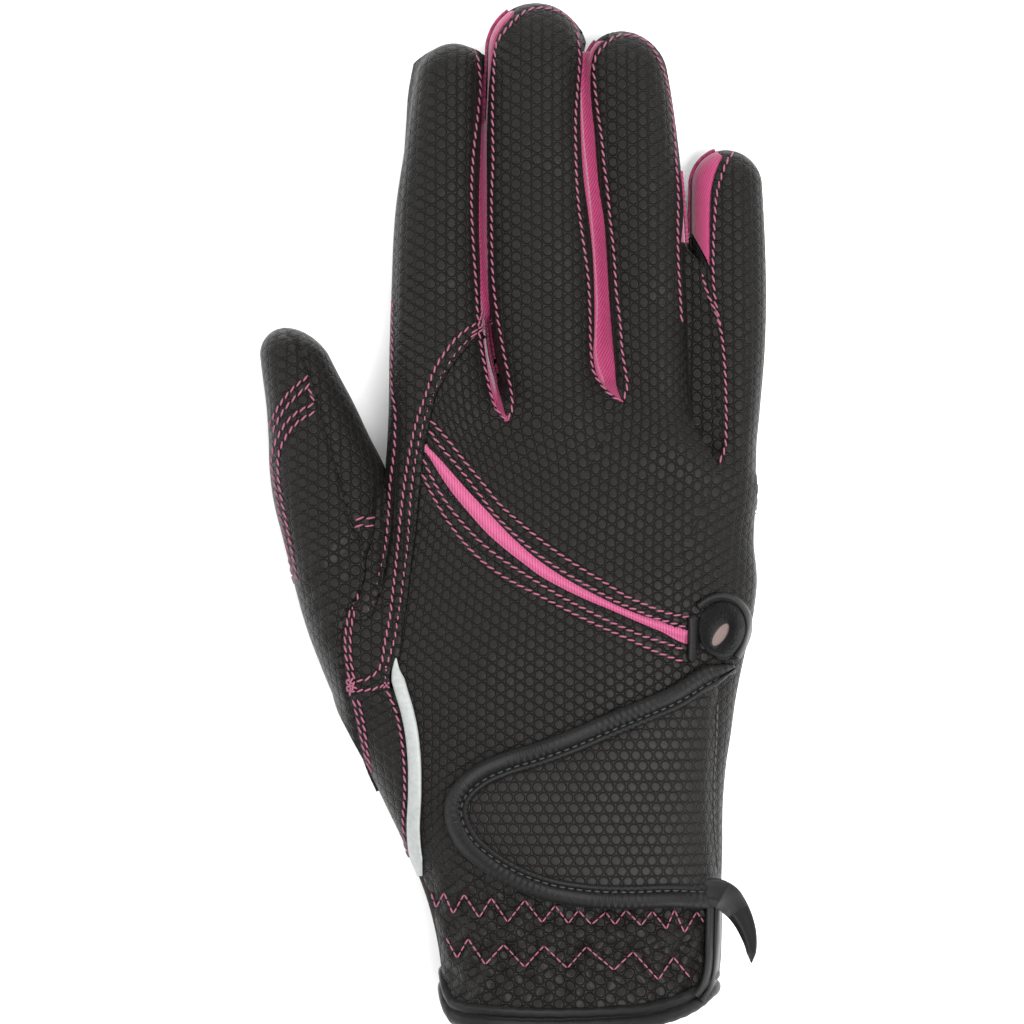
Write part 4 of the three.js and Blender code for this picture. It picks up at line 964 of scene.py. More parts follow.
# ---- Wrist panel ----
# The back of the hand below the vent and the elasticated wrist, in one piece of the same leather.
beside_vent = (ARC_EDGE[:, 1] < level_y(440)) & (ARC_EDGE[:, 1] > level_y(650))
WRIST_LEFT = np.concatenate([PIPING_LINE[::-1], ARC_EDGE[beside_vent][::-1]])
WRIST_TOP = np.concatenate([seen((423.3, 447)), VENT_BELOW[1:], SLIT_LINE[1:], seen((765, 606))])
CUFF_LEVEL = 1.5
# How far the opening's edge stands back towards its two corners: x, rise
CUFF_CORNERS = np.array([(-36, 8), (-31.6, 7), (-31.2, 5.0), (-29.8, 1.8), (-27.1, 0.45), (-22, 0), (8, 0), (14.3, 0.45),
                         (19.9, 1.6), (25.3, 3.4), (28.2, 5.0), (30.3, 6.6), (34, 8)])


def cuff_rise(x):
    return cubic(CUFF_CORNERS[:, 0], CUFF_CORNERS[:, 1:], x)[..., 0]


WRIST_COLUMNS, WRIST_ROWS = 190, 260


def wrist_left(y):
    return np.where(y < level_y(874), palm.edge(y, -1), reach(WRIST_LEFT, y))


wrist_share = crowd(WRIST_COLUMNS, 0.6, 0.9)
x_top = WRIST_TOP[0, 0] + wrist_share * (WRIST_TOP[-1, 0] - WRIST_TOP[0, 0])
for _ in range(12):
    y_top = reach_up(WRIST_TOP, x_top)
    x_top = wrist_left(y_top) * (1 - wrist_share) + palm.edge(y_top, 1) * wrist_share
climb = np.linspace(0, 1, WRIST_ROWS)[:, None]
wrist_y = CUFF_LEVEL + (y_top[None] - CUFF_LEVEL) * climb
wrist_x = wrist_left(wrist_y) * (1 - wrist_share) + palm.edge(wrist_y, 1) * wrist_share
wrist_y = wrist_y + cuff_rise(wrist_x) * (1 - climb) ** 3
wrist_grid = lifted(np.stack([wrist_x, wrist_y], -1))
wrist_leather = sheet_object("wrist_leather", [closed_sides(wrist_grid, left=True, right=True)], back_leather)
thicken(wrist_leather, LEATHER_THICK)
put_on(wrist_leather, "embossed_leather", "wrist_panel", cut=(98, 130, 8800), on=["palm_panel"])

# ---- Palm side ----
# One panel under the hand and the fingers. The photograph hides it, so it is plain grained leather.
palm_share = crowd(150, 0.95, 0.95)[None]
run = np.linspace(CUFF_LEVEL / PALM_LENGTH, 1, 200)[:, None]
mix, left, right, _, _ = columns(PALM_ROWS, run)
width = WRIST_WIDTH + (PALM_WIDTH - WRIST_WIDTH) * mix
low_x = width * (right + (left - right) * palm_share)
off = (low_x - KNUCKLE_PEAK * PALM_WIDTH) / (PALM_WIDTH / 2)
drop = np.where(off > 0, LITTLE_DROP, INDEX_DROP) * off**2 * np.maximum(0, (run - DROP_FROM) / (1 - DROP_FROM)) ** 2
low_y = (run - drop) * PALM_LENGTH
low_y = low_y + cuff_rise(low_x) * (1 - run) ** 8
among_fingers = np.clip(low_x, tube_edge(index, low_y, -1) + 0.3, tube_edge(little, low_y, 1) - 0.3)
low_x = np.where(low_y > FINGER_ROOT, among_fingers, low_x)
palm_low = raised(low_x, low_y, under)
palm_low_grid = closed_sides((palm_low, None), left=True, right=True, side=-1)
# Palm leather: the darker colour is painted into the fine grain's grooves as shade and into darker random patches; the
# lighter one is its lit colour.
PALM_SHADE_AND_PATCHES, PALM_LIT = (0.03, 0.028, 0.026), (0.045, 0.042, 0.04)
palm_leather = embossed_leather("palm_leather", pitch=0.9, tone=PALM_SHADE_AND_PATCHES, lit=PALM_LIT, depth=0.06)
finger_lows = [lower_half(tube, tube.root, 30, 130) for tube in (index, middle, ring, little)]
palm_side = sheet_object("palm_side_leather", [palm_low_grid, *finger_lows], palm_leather)
thicken(palm_side, LEATHER_THICK)
put_on(palm_side, "embossed_leather", "palm_panel", cut=(125, 235, 26000), on=["floor"])

# ---- Stretch knit between the fingers, and in the vent ----
# Bright pink ribbed knit: a strip down each side of the forks, a piece beside the little finger, a crescent vent.
# Lit and shaded copies of the pink, for the forks and for the vent: the darker one is painted into the ribs' hollows as
# shade, the lighter one onto their crests as light.
KNIT_SHADED = (0.12, 0.004, 0.033)
KNIT_LIT = (0.27, 0.013, 0.083)
VENT_SHADED = (0.19, 0.024, 0.068)
VENT_LIT = (0.34, 0.052, 0.138)
RIB_PITCH = 0.62


def ribbed_knit(name, turn=0.0, tone=KNIT_SHADED, lit=KNIT_LIT):
    """Knit with fine ribs: a sine across the pattern map, turned by an angle, with noise for the loops.
    The colour follows the rib height as painted light and shade: the dark tone in the hollows, the lit colour on the
    crests.
    """
    material, nodes, links, shader = new_material(name)
    pattern = nodes.new("ShaderNodeUVMap")
    pattern.uv_map = "pattern"
    turned = nodes.new("ShaderNodeMapping")
    turned.inputs["Rotation"].default_value = (0, 0, turn)
    links.new(pattern.outputs["UV"], turned.inputs["Vector"])
    ribs = nodes.new("ShaderNodeTexWave")
    ribs.wave_type = "BANDS"
    ribs.bands_direction = "X"
    ribs.inputs["Scale"].default_value = 2 * math.pi / RIB_PITCH / 20
    ribs.inputs["Distortion"].default_value = 0.6
    ribs.inputs["Detail"].default_value = 2
    links.new(turned.outputs["Vector"], ribs.inputs["Vector"])
    loops = nodes.new("ShaderNodeTexWave")
    loops.wave_type = "BANDS"
    loops.bands_direction = "Y"
    loops.inputs["Scale"].default_value = 2 * math.pi / (RIB_PITCH * 0.6) / 20
    links.new(turned.outputs["Vector"], loops.inputs["Vector"])
    height = nodes.new("ShaderNodeMath")
    height.operation = "MULTIPLY_ADD"
    height.inputs[1].default_value = 0.35
    links.new(loops.outputs["Fac"], height.inputs[0])
    links.new(ribs.outputs["Fac"], height.inputs[2])
    # Painted light and shade by rib height: hollows in the dark tone, crests in the lit colour.
    two_tones(nodes, links, shader, tone, lit, height.outputs["Value"])
    shader.inputs["Roughness"].default_value = 0.75
    shader.inputs["Sheen Weight"].default_value = 0.35
    shader.inputs["Sheen Roughness"].default_value = 0.4
    press(nodes, links, shader, height.outputs["Value"], 0.6, 0.00012)
    return material


fork_knit = ribbed_knit("ribbed_knit", 0.5)
vent_knit = ribbed_knit("vent_knit", tone=VENT_SHADED, lit=VENT_LIT)


UNDER_LEATHER = 1.2  # how far the knit goes on below the leather's edge
INSIDE = 0.35  # the knit lies this far inside the leather


def finger_wall(tube, side, seam, low_seam, low_edge=None, high=None, count=18, rows_=170, stop=None):
    """One side of a finger's upper half, from its leather seam out to its edge, on the finger's own tube. It starts
    at one height at the seam and another at the edge, and dips where the leather covers it."""
    climb = np.sin(np.linspace(0, np.pi / 2, rows_)) * 0.35 + np.linspace(0, 1, rows_) * 0.65
    out = crowd(count, 0.2, 0.95)
    low = low_seam + ((low_seam if low_edge is None else low_edge) - low_seam) * out
    stop = tube.end - INSIDE - 0.1 if stop is None else stop
    high = np.full(count, stop) if high is None else high[0] + (high[1] - high[0]) * out
    y = low + (high - low) * climb[:, None]
    mid, half, _, _ = tube.section(y)
    top = seam[:, 1].max()
    mid_low, half_low, _, _ = tube.section(np.minimum(y, top))
    share = np.clip(side * (reach(seam, np.minimum(y, top)) - mid_low) / half_low, -0.4, 0.995)
    share = share + (0.999 - share) * round_tip(tube, y, top)
    start = share * half - UNDER_LEATHER * np.minimum(1, half / 4)
    narrow = np.maximum(half - INSIDE, 0.05)
    start = np.minimum(start, narrow - 0.02)
    x = mid + side * (start + (narrow - start) * out)
    near_seam = np.abs(x - mid - side * start) / (UNDER_LEATHER * 1.15)
    z = tube.height(mid + (x - mid) * half / narrow, y, 1) - 0.15 - 0.75 * np.exp(-(near_seam**4))
    z = z + 0.05 * np.sin(y * 1.9 + 2 * np.sin(y * 0.31))
    if side < 0:
        x, y, z = x[:, ::-1], y[:, ::-1], z[:, ::-1]
    points = np.stack([x, y, z], -1)
    column = -1 if side > 0 else 0
    rim = points[:, column].copy()
    rim[:, 2] = tube.section(rim[:, 1])[2]
    points = np.concatenate([points, rim[:, None]] if side > 0 else [rim[:, None], points], 1)
    return points, wrap_map(points)


def bridge(left_seam, right_seam, low, high, sag, lean=0.55, count=20, rows_=170):
    """The knit between two fingers: from seam to seam, dipping most near its left, and closing at the fork's point."""
    y = low + (np.broadcast_to(high, (count,)) - low) * np.linspace(0, 1, rows_)[:, None]
    left, right = reach(left_seam, y) - 0.45, reach(right_seam, y) + 0.45
    right = np.maximum(right, left + 0.3)
    share = np.linspace(0, 1, count)[None]
    x = left + (right - left) * share
    z_left, z_right = smooth_back(left, y), smooth_back(right, y)
    depth = np.minimum(sag, 0.75 * (right - left)) * np.clip((y - low) / 4, 0.1, 1)
    z = z_left * (1 - share) + z_right * share - 0.45 - depth * np.sin(np.pi * share**lean) ** 0.8
    z = z + 0.07 * np.sin(2.2 * y + 5 * share)
    points = np.stack([x, y, z], -1)
    return points, wrap_map(points)


for name, node, near, far_, near_seam, far_seam, low, sag, tops, cut in (
    ("fork_index_middle", "fourchette_index_middle", index, middle, INDEX_RIGHT, MIDDLE_LEFT, 421, 2.2, (72, 10, 80),
     (20, 97, 1500)),
    ("fork_middle_ring", "fourchette_middle_ring", middle, ring, MIDDLE_RIGHT, RING_LEFT, 402, 2.6, (62, 40, 50),
     (22, 95, 1650)),
):
    walls = [
        finger_wall(near, 1, near_seam, level_y(low + 4), stop=level_y(tops[0])),
        finger_wall(far_, -1, far_seam, level_y(low + 4), stop=level_y(tops[1])),
        bridge(near_seam, far_seam, level_y(low), level_y(tops[2]), sag),
    ]
    knit = sheet_object(name, walls, fork_knit)
    thicken(knit, 0.8)
    put_on(knit, "pink_knit", node, cut=cut, on=["knuckle_panel"])

# Beside the little finger the knit stops at a slanting edge, and leather goes on down to the fork
KNIT_POINT, KNIT_HEEL = level_y(276), level_y(232)
knit_wall = finger_wall(little, -1, LITTLE_LEFT, KNIT_POINT, KNIT_HEEL)
ring_knit = finger_wall(ring, 1, RING_RIGHT, level_y(243), stop=level_y(170))
little_knit = sheet_object("little_knit_side", [knit_wall, ring_knit], fork_knit)
thicken(little_knit, 0.8)
put_on(little_knit, "pink_knit", "little_knit", cut=(12, 58, 520), on=["knuckle_panel"])

leather_wall = finger_wall(little, -1, LITTLE_LEFT, level_y(440), level_y(440), (KNIT_POINT - 1, KNIT_HEEL - 1))
little_inner = bridge(RING_RIGHT, LITTLE_LEFT, level_y(467), np.linspace(level_y(238), level_y(274), 34), 2.6,
                      0.36, 34, 110)
RING_KNIT_FROM = level_y(242)
ring_wall = finger_wall(ring, 1, RING_RIGHT, level_y(430), level_y(430), (RING_KNIT_FROM, RING_KNIT_FROM))
little_side = sheet_object("little_inner_leather", [little_inner, ring_wall, leather_wall], back_leather)
thicken(little_side, 0.8)
put_on(little_side, "embossed_leather", "little_gusset", cut=(36, 54, 1700), on=["knuckle_panel"])

# The vent: a shallow swelling between its two seams
VENT_SWELL = 0.45
top_edge, low_edge = line_through(VENT_ABOVE, 220), line_through(VENT_BELOW, 220)
vent_share = np.linspace(-0.15, 1.15, 14)[:, None, None]
vent_flat = low_edge[None] * (1 - vent_share) + top_edge[None] * vent_share
vent_points = raised(vent_flat[..., 0], vent_flat[..., 1])
vent_inside = np.clip(vent_share[..., 0], 0, 1)
vent_points[..., 2] += VENT_SWELL * 4 * vent_inside * (1 - vent_inside) - 0.15
vent = sheet_object("vent_knit_crescent", [(vent_points, vent_points[..., :2])], vent_knit)
thicken(vent, 0.5)
put_on(vent, "pink_knit", "vent_insert", cut=(10.2, 75, 280), on=["wrist_panel"])

# ---- Reflective piping ----
# A silver-grey reflective tape folded over a cord and sewn into the seam beside the thumb; it tapers at its top.
PIPING_HALF = 1.5
PIPING_HIGH = 1.1


def along_line(line, count):
    """Places along a line on the back with the unit vectors along it and to its left."""
    flat = line_through(line, count)
    ahead = np.gradient(flat, axis=0)
    ahead /= np.linalg.norm(ahead, axis=1)[:, None]
    return flat, ahead, np.stack([-ahead[:, 1], ahead[:, 0]], -1)


def swept_band(line, count, profile, half, high, lift=0.0):
    """A profile (share of the half width, share of the height) carried along a line on the back. half and high are
    numbers or arrays along the line; each point keeps its height above the leather under it."""
    flat, ahead, aside = along_line(line, count)
    half = np.broadcast_to(half, (count,))[:, None]
    high = np.broadcast_to(high, (count,))[:, None]
    places = flat[:, None] - aside[:, None] * (half * profile[None, :, 0])[..., None]
    z = smooth_back(places[..., 0], places[..., 1]) + lift + high * profile[None, :, 1]
    points = np.concatenate([places, z[..., None]], -1)
    far = np.r_[0, np.cumsum(np.linalg.norm(np.diff(flat, axis=0), axis=1))]
    around = np.r_[0, np.cumsum(np.linalg.norm(np.diff(profile, axis=0), axis=1))]
    pattern = np.stack(np.broadcast_arrays(around[None] * half, far[:, None]), -1)
    return points, pattern


def half_round(count, foot=0.0):
    """An arch from one foot to the other: cosine across, sine up, closed underneath."""
    turn = np.linspace(0, np.pi, count)
    arch = np.stack([-np.cos(turn), np.sin(turn) ** 0.6], -1)
    return np.concatenate([[(-1, foot - 0.6)], arch, [(1, foot - 0.6)], [(-1, foot - 0.6)]])


def cloth_material(name, tone, lit, roughness, weave, bump_mm, sheen=0.0, level=0.5, cells=900):
    """A woven band: fine slanting twill lines over the pattern map, with noise for wear, in two close tones."""
    material, nodes, links, shader = new_material(name)
    pattern = nodes.new("ShaderNodeUVMap")
    pattern.uv_map = "pattern"
    turned = nodes.new("ShaderNodeMapping")
    turned.inputs["Rotation"].default_value = (0, 0, 0.6)
    links.new(pattern.outputs["UV"], turned.inputs["Vector"])
    twill = nodes.new("ShaderNodeTexWave")
    twill.wave_type = "BANDS"
    twill.inputs["Scale"].default_value = 2 * math.pi / weave / 20
    twill.inputs["Distortion"].default_value = 1.5
    links.new(turned.outputs["Vector"], twill.inputs["Vector"])
    place = nodes.new("ShaderNodeTexCoord")
    noise = nodes.new("ShaderNodeTexNoise")
    noise.inputs["Scale"].default_value = cells
    noise.inputs["Detail"].default_value = 5
    links.new(place.outputs["Object"], noise.inputs["Vector"])
    height = nodes.new("ShaderNodeMath")
    height.operation = "MULTIPLY_ADD"
    height.inputs[1].default_value = 0.8
    links.new(noise.outputs["Fac"], height.inputs[0])
    links.new(twill.outputs["Fac"], height.inputs[2])
    two_tones(nodes, links, shader, tone, lit, noise.outputs["Fac"])
    rough = nodes.new("ShaderNodeMapRange")
    rough.inputs["To Min"].default_value = roughness - 0.06
    rough.inputs["To Max"].default_value = roughness + 0.08
    links.new(noise.outputs["Fac"], rough.inputs["Value"])
    links.new(rough.outputs["Result"], shader.inputs["Roughness"])
    shader.inputs["Sheen Weight"].default_value = sheen
    shader.inputs["Sheen Roughness"].default_value = 0.4
    shader.inputs["Specular IOR Level"].default_value = level
    press(nodes, links, shader, height.outputs["Value"], 0.5, bump_mm / 1000)
    return material


def capped(grid):
    """Closes both ends of a band by shrinking its first and last sections to their middle."""
    points, pattern = grid
    first = np.repeat(points[:1].mean(1, keepdims=True), points.shape[1], 1)
    last = np.repeat(points[-1:].mean(1, keepdims=True), points.shape[1], 1)
    return np.concatenate([first, points, last]), np.concatenate([pattern[:1], pattern, pattern[-1:]])


reflective = cloth_material("reflective_tape", (0.17, 0.182, 0.178), (0.285, 0.297, 0.29), 0.45, 0.35, 0.03, level=0.4)
piping_share = np.linspace(0, 1, 120)
piping_half = PIPING_HALF * np.minimum(1, 0.1 + 9 * piping_share) * np.minimum(1, 0.45 + 7 * (1 - piping_share))
PIPING_MIDDLE = seen(
    (396.5, 656), (396.5, 668), (401, 686), (407.5, 708), (412, 730), (414.5, 755), (415, 791),
    (413.5, 830), (415.5, 854), (419.5, 874)
)
piping_high = PIPING_HIGH * (piping_half / PIPING_HALF)
piping_band = capped(swept_band(PIPING_MIDDLE, 120, half_round(15), piping_half, piping_high))
piping = sheet_object("reflective_piping_tape", [piping_band], reflective)
put_on(piping, "reflective_silver", "reflective_piping", filled=0.9)

# ---- Wrist strap ----
# A tapering tab of the same leather, its discs in rows along it, with a satin binding sewn over its edge in two ridges.
STRAP_OUTER = seen(
    (729, 654), (718, 658), (703, 664), (669, 684), (634, 699), (600, 713), (570, 726), (535, 739),
    (500, 750), (474, 762), (456, 777), (446, 794), (444, 808), (447, 824), (459, 846), (480, 865),
    (512, 884), (546, 896), (581, 902), (627, 904), (672, 903), (707, 905), (722, 904)
)
STRAP_FIELD_INSET = 4.9
STRAP_LIFT = 1.2
strap_line = line_through(STRAP_OUTER, 420)
_, _, strap_aside = along_line(STRAP_OUTER, 420)


def strap_inset(inset):
    """The strap's edge moved inwards, to the left of its way round."""
    return strap_line + strap_aside * inset


STRAP_END = seen((716, 690), (714, 702), (713, 734), (710.5, 792), (711.5, 826), (715, 866), (716, 880))
inner = strap_inset(STRAP_FIELD_INSET - 0.3)
nose = int(np.argmin(inner[:, 0]))
upper, lower = inner[: nose + 1][::-1], inner[nose:]
field_share = np.linspace(0, 1, 170)[None] ** 1.6
field_t = np.linspace(0, 1, 90)[:, None]
field_y = np.full((90, 170), inner[nose, 1])
for _ in range(10):
    field_x = inner[nose, 0] + (reach(STRAP_END, field_y) - inner[nose, 0]) * field_share
    upper_y, lower_y = np.interp(field_x, *upper.T), np.interp(field_x, *lower.T)
    field_y = lower_y * (1 - field_t) + upper_y * field_t
edge_gap = np.minimum(upper_y - field_y, field_y - lower_y)
edge_gap = np.minimum(edge_gap, field_x - inner[nose, 0] + 0.2)
SWELL = 0.6
end_gap = reach(STRAP_END, field_y) - field_x
field_z = smooth_back(field_x, field_y) + STRAP_LIFT + SWELL * (1 - np.exp(-edge_gap / 2.2))
field_z -= 0.95 * np.exp(-((end_gap / 1.1) ** 2))
field_z += 0.1 * np.sin(0.3 * field_x) * np.sin(0.24 * field_y + 1)
field_points = np.stack([field_x, field_y, field_z], -1)
# The strap's leather: its darker colour is painted into the disc grooves as shade, its lighter one is the lit leather.
strap_leather = embossed_leather("strap_leather", pitch=2.7, upright=False, tone=(0.0014, 0.0012, 0.0011),
                                 lit=(0.0092, 0.008, 0.0075))
strap = sheet_object("strap_leather_field", [(field_points, wrap_map(field_points))], strap_leather)
thicken(strap, 1.0)
put_on(strap, "strap_leather", "strap_field", cut=(49, 58, 1800), held="laid", on=["wrist_panel"])

satin = cloth_material("satin_binding", (0.0008, 0.0008, 0.0008), (0.005, 0.0048, 0.0047), 0.36, 0.3, 0.14, sheen=0.012,
                       level=0.17, cells=2200)


def two_ridges(split, first, second, count=13):
    """Across a binding from its outer edge: a broad round ridge, a groove at split, a narrow round ridge."""
    turn = np.linspace(0, np.pi, count)
    one = np.stack([-1 + (split + 1) * (1 - np.cos(turn)) / 2, first * np.sin(turn) ** 0.6], -1)
    two = np.stack([split + (1 - split) * (1 - np.cos(turn)) / 2, second * np.sin(turn) ** 0.7], -1)
    one[-1, 1] = two[0, 1] = 0.35 * first
    one[0, 1] = two[-1, 1] = -0.25
    return np.concatenate([[(-1, -1.0)], one, two[1:], [(1, -1.0)], [(-1, -1.0)]])


BINDING_HALF = 2.75
binding_middle = strap_inset(BINDING_HALF)
binding_share = np.linspace(0, 1, 520)
binding_half = BINDING_HALF * np.minimum(1, 0.25 + 18 * binding_share)
binding_high = 2.1 + 0.12 * np.sin(2 * np.pi * binding_share * 95) * (0.5 + 0.5 * np.sin(binding_share * 40))
strap_profile = two_ridges(0.4, 1.0, 0.8)
binding = sheet_object(
    "strap_satin_binding",
    [capped(swept_band(binding_middle, 520, strap_profile * [-1, 1], binding_half, binding_high, lift=0.5))],
    satin,
    outward=-1,
)
put_on(binding, "satin_binding", "strap_binding", cut=(10, 195, 1900), held="folded", on=["strap_field"])

# ---- Slit end: satin bar and brushed loop ----
# The slit in the side of the hand ends in a short satin bar, with a loop of brushed knit round its keyhole.
BAR_LINE = seen((691.5, 614), (691, 636), (689.5, 661))
bar_share = np.linspace(0, 1, 40)
bar_half = 1.35 * np.minimum(1, (1 - (2 * bar_share - 1) ** 10) + 0.25) * (1 - 0.25 * bar_share)
bar = sheet_object("slit_satin_bar", [capped(swept_band(BAR_LINE, 40, half_round(13), bar_half, 1.5))], satin)
put_on(bar, "satin_binding", "slit_bar", filled=0.9)

LOOP_MIDDLE = seen((721, 627.5))[0]
loop_turn = np.linspace(0, 2 * np.pi, 160)
loop_outer = LOOP_MIDDLE + np.stack([5.6 * np.cos(loop_turn), 6.3 * np.sin(loop_turn)], -1)
hole_flat = np.stack([1.25 * np.cos(loop_turn), 2.9 * np.sin(loop_turn)], -1)
tilt = math.radians(-35)
hole_turned = hole_flat @ np.array([[math.cos(tilt), math.sin(tilt)], [-math.sin(tilt), math.cos(tilt)]])
loop_inner = LOOP_MIDDLE + seen((718.5, 636))[0] - seen((721, 630))[0] + hole_turned
ring_share = np.linspace(0, 1, 26)[None, :, None]
loop_flat = loop_outer[:, None] * (1 - ring_share) + loop_inner[:, None] * ring_share
arch = np.sin(np.pi * ring_share[..., 0]) ** 0.55
fuzz = np.random.default_rng(4).normal(0, 1, (len(loop_turn), ring_share.shape[1]))
fuzz[-1] = fuzz[0]
loop_z = smooth_back(loop_flat[..., 0], loop_flat[..., 1]) + 0.2 + 2.0 * arch + 0.1 * fuzz * arch
loop_points = np.concatenate([loop_flat, loop_z[..., None]], -1)
loop_points = np.concatenate([loop_points, loop_points[:, :1] - [0, 0, 0.6]], 1)
brushed = cloth_material("brushed_knit", (0.0008, 0.0008, 0.0008), (0.006, 0.006, 0.006), 0.8, 0.5, 1.1, sheen=0.06,
                         level=0.12, cells=1500)
loop = sheet_object("slit_brushed_loop", [(loop_points, wrap_map(loop_points))], brushed, outward=-1)
put_on(loop, "brushed_loop", "slit_loop", filled=0.8)

CORD_LINE = seen(
    (696, 606), (706, 599), (720, 595.5), (734, 600), (744, 611), (748, 626), (744, 642), (735, 656)
)
cord_band = capped(swept_band(CORD_LINE, 110, half_round(11), 0.95, 1.7, lift=0.6))
loop_cord = sheet_object("slit_cord_edge", [cord_band], satin)
put_on(loop_cord, "brushed_loop", "slit_loop", filled=0.9)
LINING_TONE = (0.11, 0.08, 0.075)
lining_flat = loop_inner[None] * np.linspace(1.1, 0, 12)[:, None, None] + loop_inner.mean(0) * (
    1 - np.linspace(1.1, 0, 12)[:, None, None]
)
lining_points = raised(lining_flat[..., 0], lining_flat[..., 1], smooth_back)
lining_points[..., 2] += 0.25
lining = cloth_material("pale_lining", LINING_TONE, (0.17, 0.125, 0.12), 0.8, 0.4, 0.05, cells=1200, level=0.2)
lining_piece = sheet_object("slit_lining", [(lining_points, wrap_map(lining_points))], lining)
put_on(lining_piece, "brushed_loop", "slit_loop")

# ---- Cuff binding and its tail ----
# Satin binding folded over the wrist's edge and sewn in two ridges; its palm-side end stands out as a short curl.
CUFF_TURNS = 240


def cuff_ring(y, grow):
    """The wrist's outline at y, grown outwards, as points round it."""
    turn = np.linspace(0, 2 * np.pi, CUFF_TURNS)
    mix, left, right, rise, deep = columns(PALM_ROWS, max(y, 0) / PALM_LENGTH)
    half = WRIST_WIDTH * (right - left) / 2 + grow
    tall = WRIST_DEPTH * deep / 2 + grow
    c, s_ = np.cos(turn), np.sin(turn)
    x = WRIST_WIDTH * (left + right) / 2 + half * np.sign(c) * np.abs(c) ** (2 / SECTION_POWER)
    z = WRIST_DEPTH * rise + tall * np.sign(s_) * np.abs(s_) ** (2 / SECTION_POWER)
    out = np.sign(c) * np.abs(c) ** (2 / SECTION_POWER)
    rise_at = 1.045 * (WRIST_WIDTH * (left + right) / 2 + (half - grow) * out)
    rows_ = np.stack([x, y + cuff_rise(rise_at), np.maximum(z, 0.0)], -1)
    rows_[-1] = rows_[0]
    return rows_


cuff_section = [(5.2, -0.4), (5.1, 0.55), (4.6, 1.15), (3.9, 1.3), (3.2, 1.1), (2.75, 0.55), (2.3, 1.1), (1.4, 1.55),
                (0.5, 1.5), (-0.3, 1.0), (-0.6, 0.1), (-0.5, -1.0), (0.2, -1.9), (1.5, -2.3), (3.2, -2.3), (4.6, -2.1)]
section_line = line_through(np.array(cuff_section), 46)
cuff_points = np.stack([cuff_ring(y, grow) for y, grow in section_line], 1)
ripple = 0.07 * np.sin(np.linspace(0, 2 * np.pi, CUFF_TURNS) * 48)[:, None]
cuff_points[..., 1] += ripple
SIDE_LEG = seen((697, 994), (705, 984), (709.5, 972), (711.5, 958), (712, 940), (712.5, 922), (713, 900))
side_leg = capped(swept_band(SIDE_LEG, 90, two_ridges(0.05, 1.0, 0.9) * [-1, 1], 2.1, 1.9, lift=0.4))
cuff = sheet_object("cuff_satin_binding", [(cuff_points, wrap_map(cuff_points)), side_leg], satin, outward=-1)
put_on(cuff, "satin_binding", "cuff_binding", cut=(14, 195, 2700), held="folded", on=["wrist_panel"])

TAIL_LINE = seen(
    (700, 889), (712, 889), (722, 893), (732, 903), (740, 915), (746, 929), (749.5, 943), (750.5, 954),
    (750.5, 962)
)
tail_flat, _, tail_aside = along_line(TAIL_LINE, 70)
tail_share = np.linspace(0, 1, 70)
tail_half = np.interp(tail_share, [0, 0.12, 0.3, 0.5, 0.7, 0.9, 1], [2.8, 3.3, 3.2, 2.5, 1.9, 1.1, 0.15])
tail_turn = np.linspace(0, 2 * np.pi, 29)
tail_across = tail_half[:, None] * np.cos(tail_turn)[None]
tail_up = (0.75 + 0.45 * np.exp(-(((np.cos(tail_turn) + 0.45) / 0.3) ** 2)))[None] * np.sin(tail_turn)[None]
tail_up = tail_up * np.minimum(1, tail_half / 1.2)[:, None]
tail_xy = tail_flat[:, None] + tail_aside[:, None] * tail_across[..., None]
tail_level = np.interp(tail_share, [0, 0.2, 0.45, 1], [26, 25, 19, 15])[:, None]
tail_points = np.concatenate([tail_xy, (tail_level + 1.1 * tail_up)[..., None]], -1)
tail = sheet_object("binding_tail_curl", [capped((tail_points, wrap_map(tail_points)))], satin, outward=-1)
put_on(tail, "satin_binding", "binding_tail", cut=(10, 22, 180), held="folded", on=["cuff_binding"])

# ---- Stitching ----
# Pink thread in rows of short stitches, painted lighter along the middle as a highlight and darker at the sides as
# shade;
# zigzags hold the wrist's elastic, bar tacks the seam ends.
THREAD_LONG, THREAD_HALF, THREAD_HIGH = 1.66, 0.27, 0.3


def thread_material():
    """A painted highlight of light pink along the middle of a stitch and painted shade in darker magenta at its sides,
    with fine slanting plies as a bump.
    """
    material, nodes, links, shader = new_material("pink_thread")
    pattern = nodes.new("ShaderNodeUVMap")
    pattern.uv_map = "pattern"
    parts = nodes.new("ShaderNodeSeparateXYZ")
    links.new(pattern.outputs["UV"], parts.inputs["Vector"])
    across = nodes.new("ShaderNodeMath")
    across.operation = "ABSOLUTE"
    links.new(parts.outputs["X"], across.inputs[0])
    tint = nodes.new("ShaderNodeValToRGB")
    links.new(across.outputs["Value"], tint.inputs["Fac"])
    # Painted highlight and shade: light pink in the middle of each stitch, dark magenta towards its sides.
    tint.color_ramp.elements[0].position, tint.color_ramp.elements[0].color = 0.3, (0.25, 0.075, 0.125, 1)
    tint.color_ramp.elements[1].position, tint.color_ramp.elements[1].color = 0.68, (0.085, 0.006, 0.028, 1)
    links.new(tint.outputs["Color"], shader.inputs["Base Color"])
    shader.inputs["Roughness"].default_value = 0.55
    shader.inputs["Sheen Weight"].default_value = 0.08
    shader.inputs["Specular IOR Level"].default_value = 0.3
    turned = nodes.new("ShaderNodeMapping")
    turned.inputs["Rotation"].default_value = (0, 0, 0.7)
    links.new(pattern.outputs["UV"], turned.inputs["Vector"])
    plies = nodes.new("ShaderNodeTexWave")
    plies.inputs["Scale"].default_value = 0.9
    links.new(turned.outputs["Vector"], plies.inputs["Vector"])
    press(nodes, links, shader, plies.outputs["Fac"], 0.6, 0.00008)
    return material


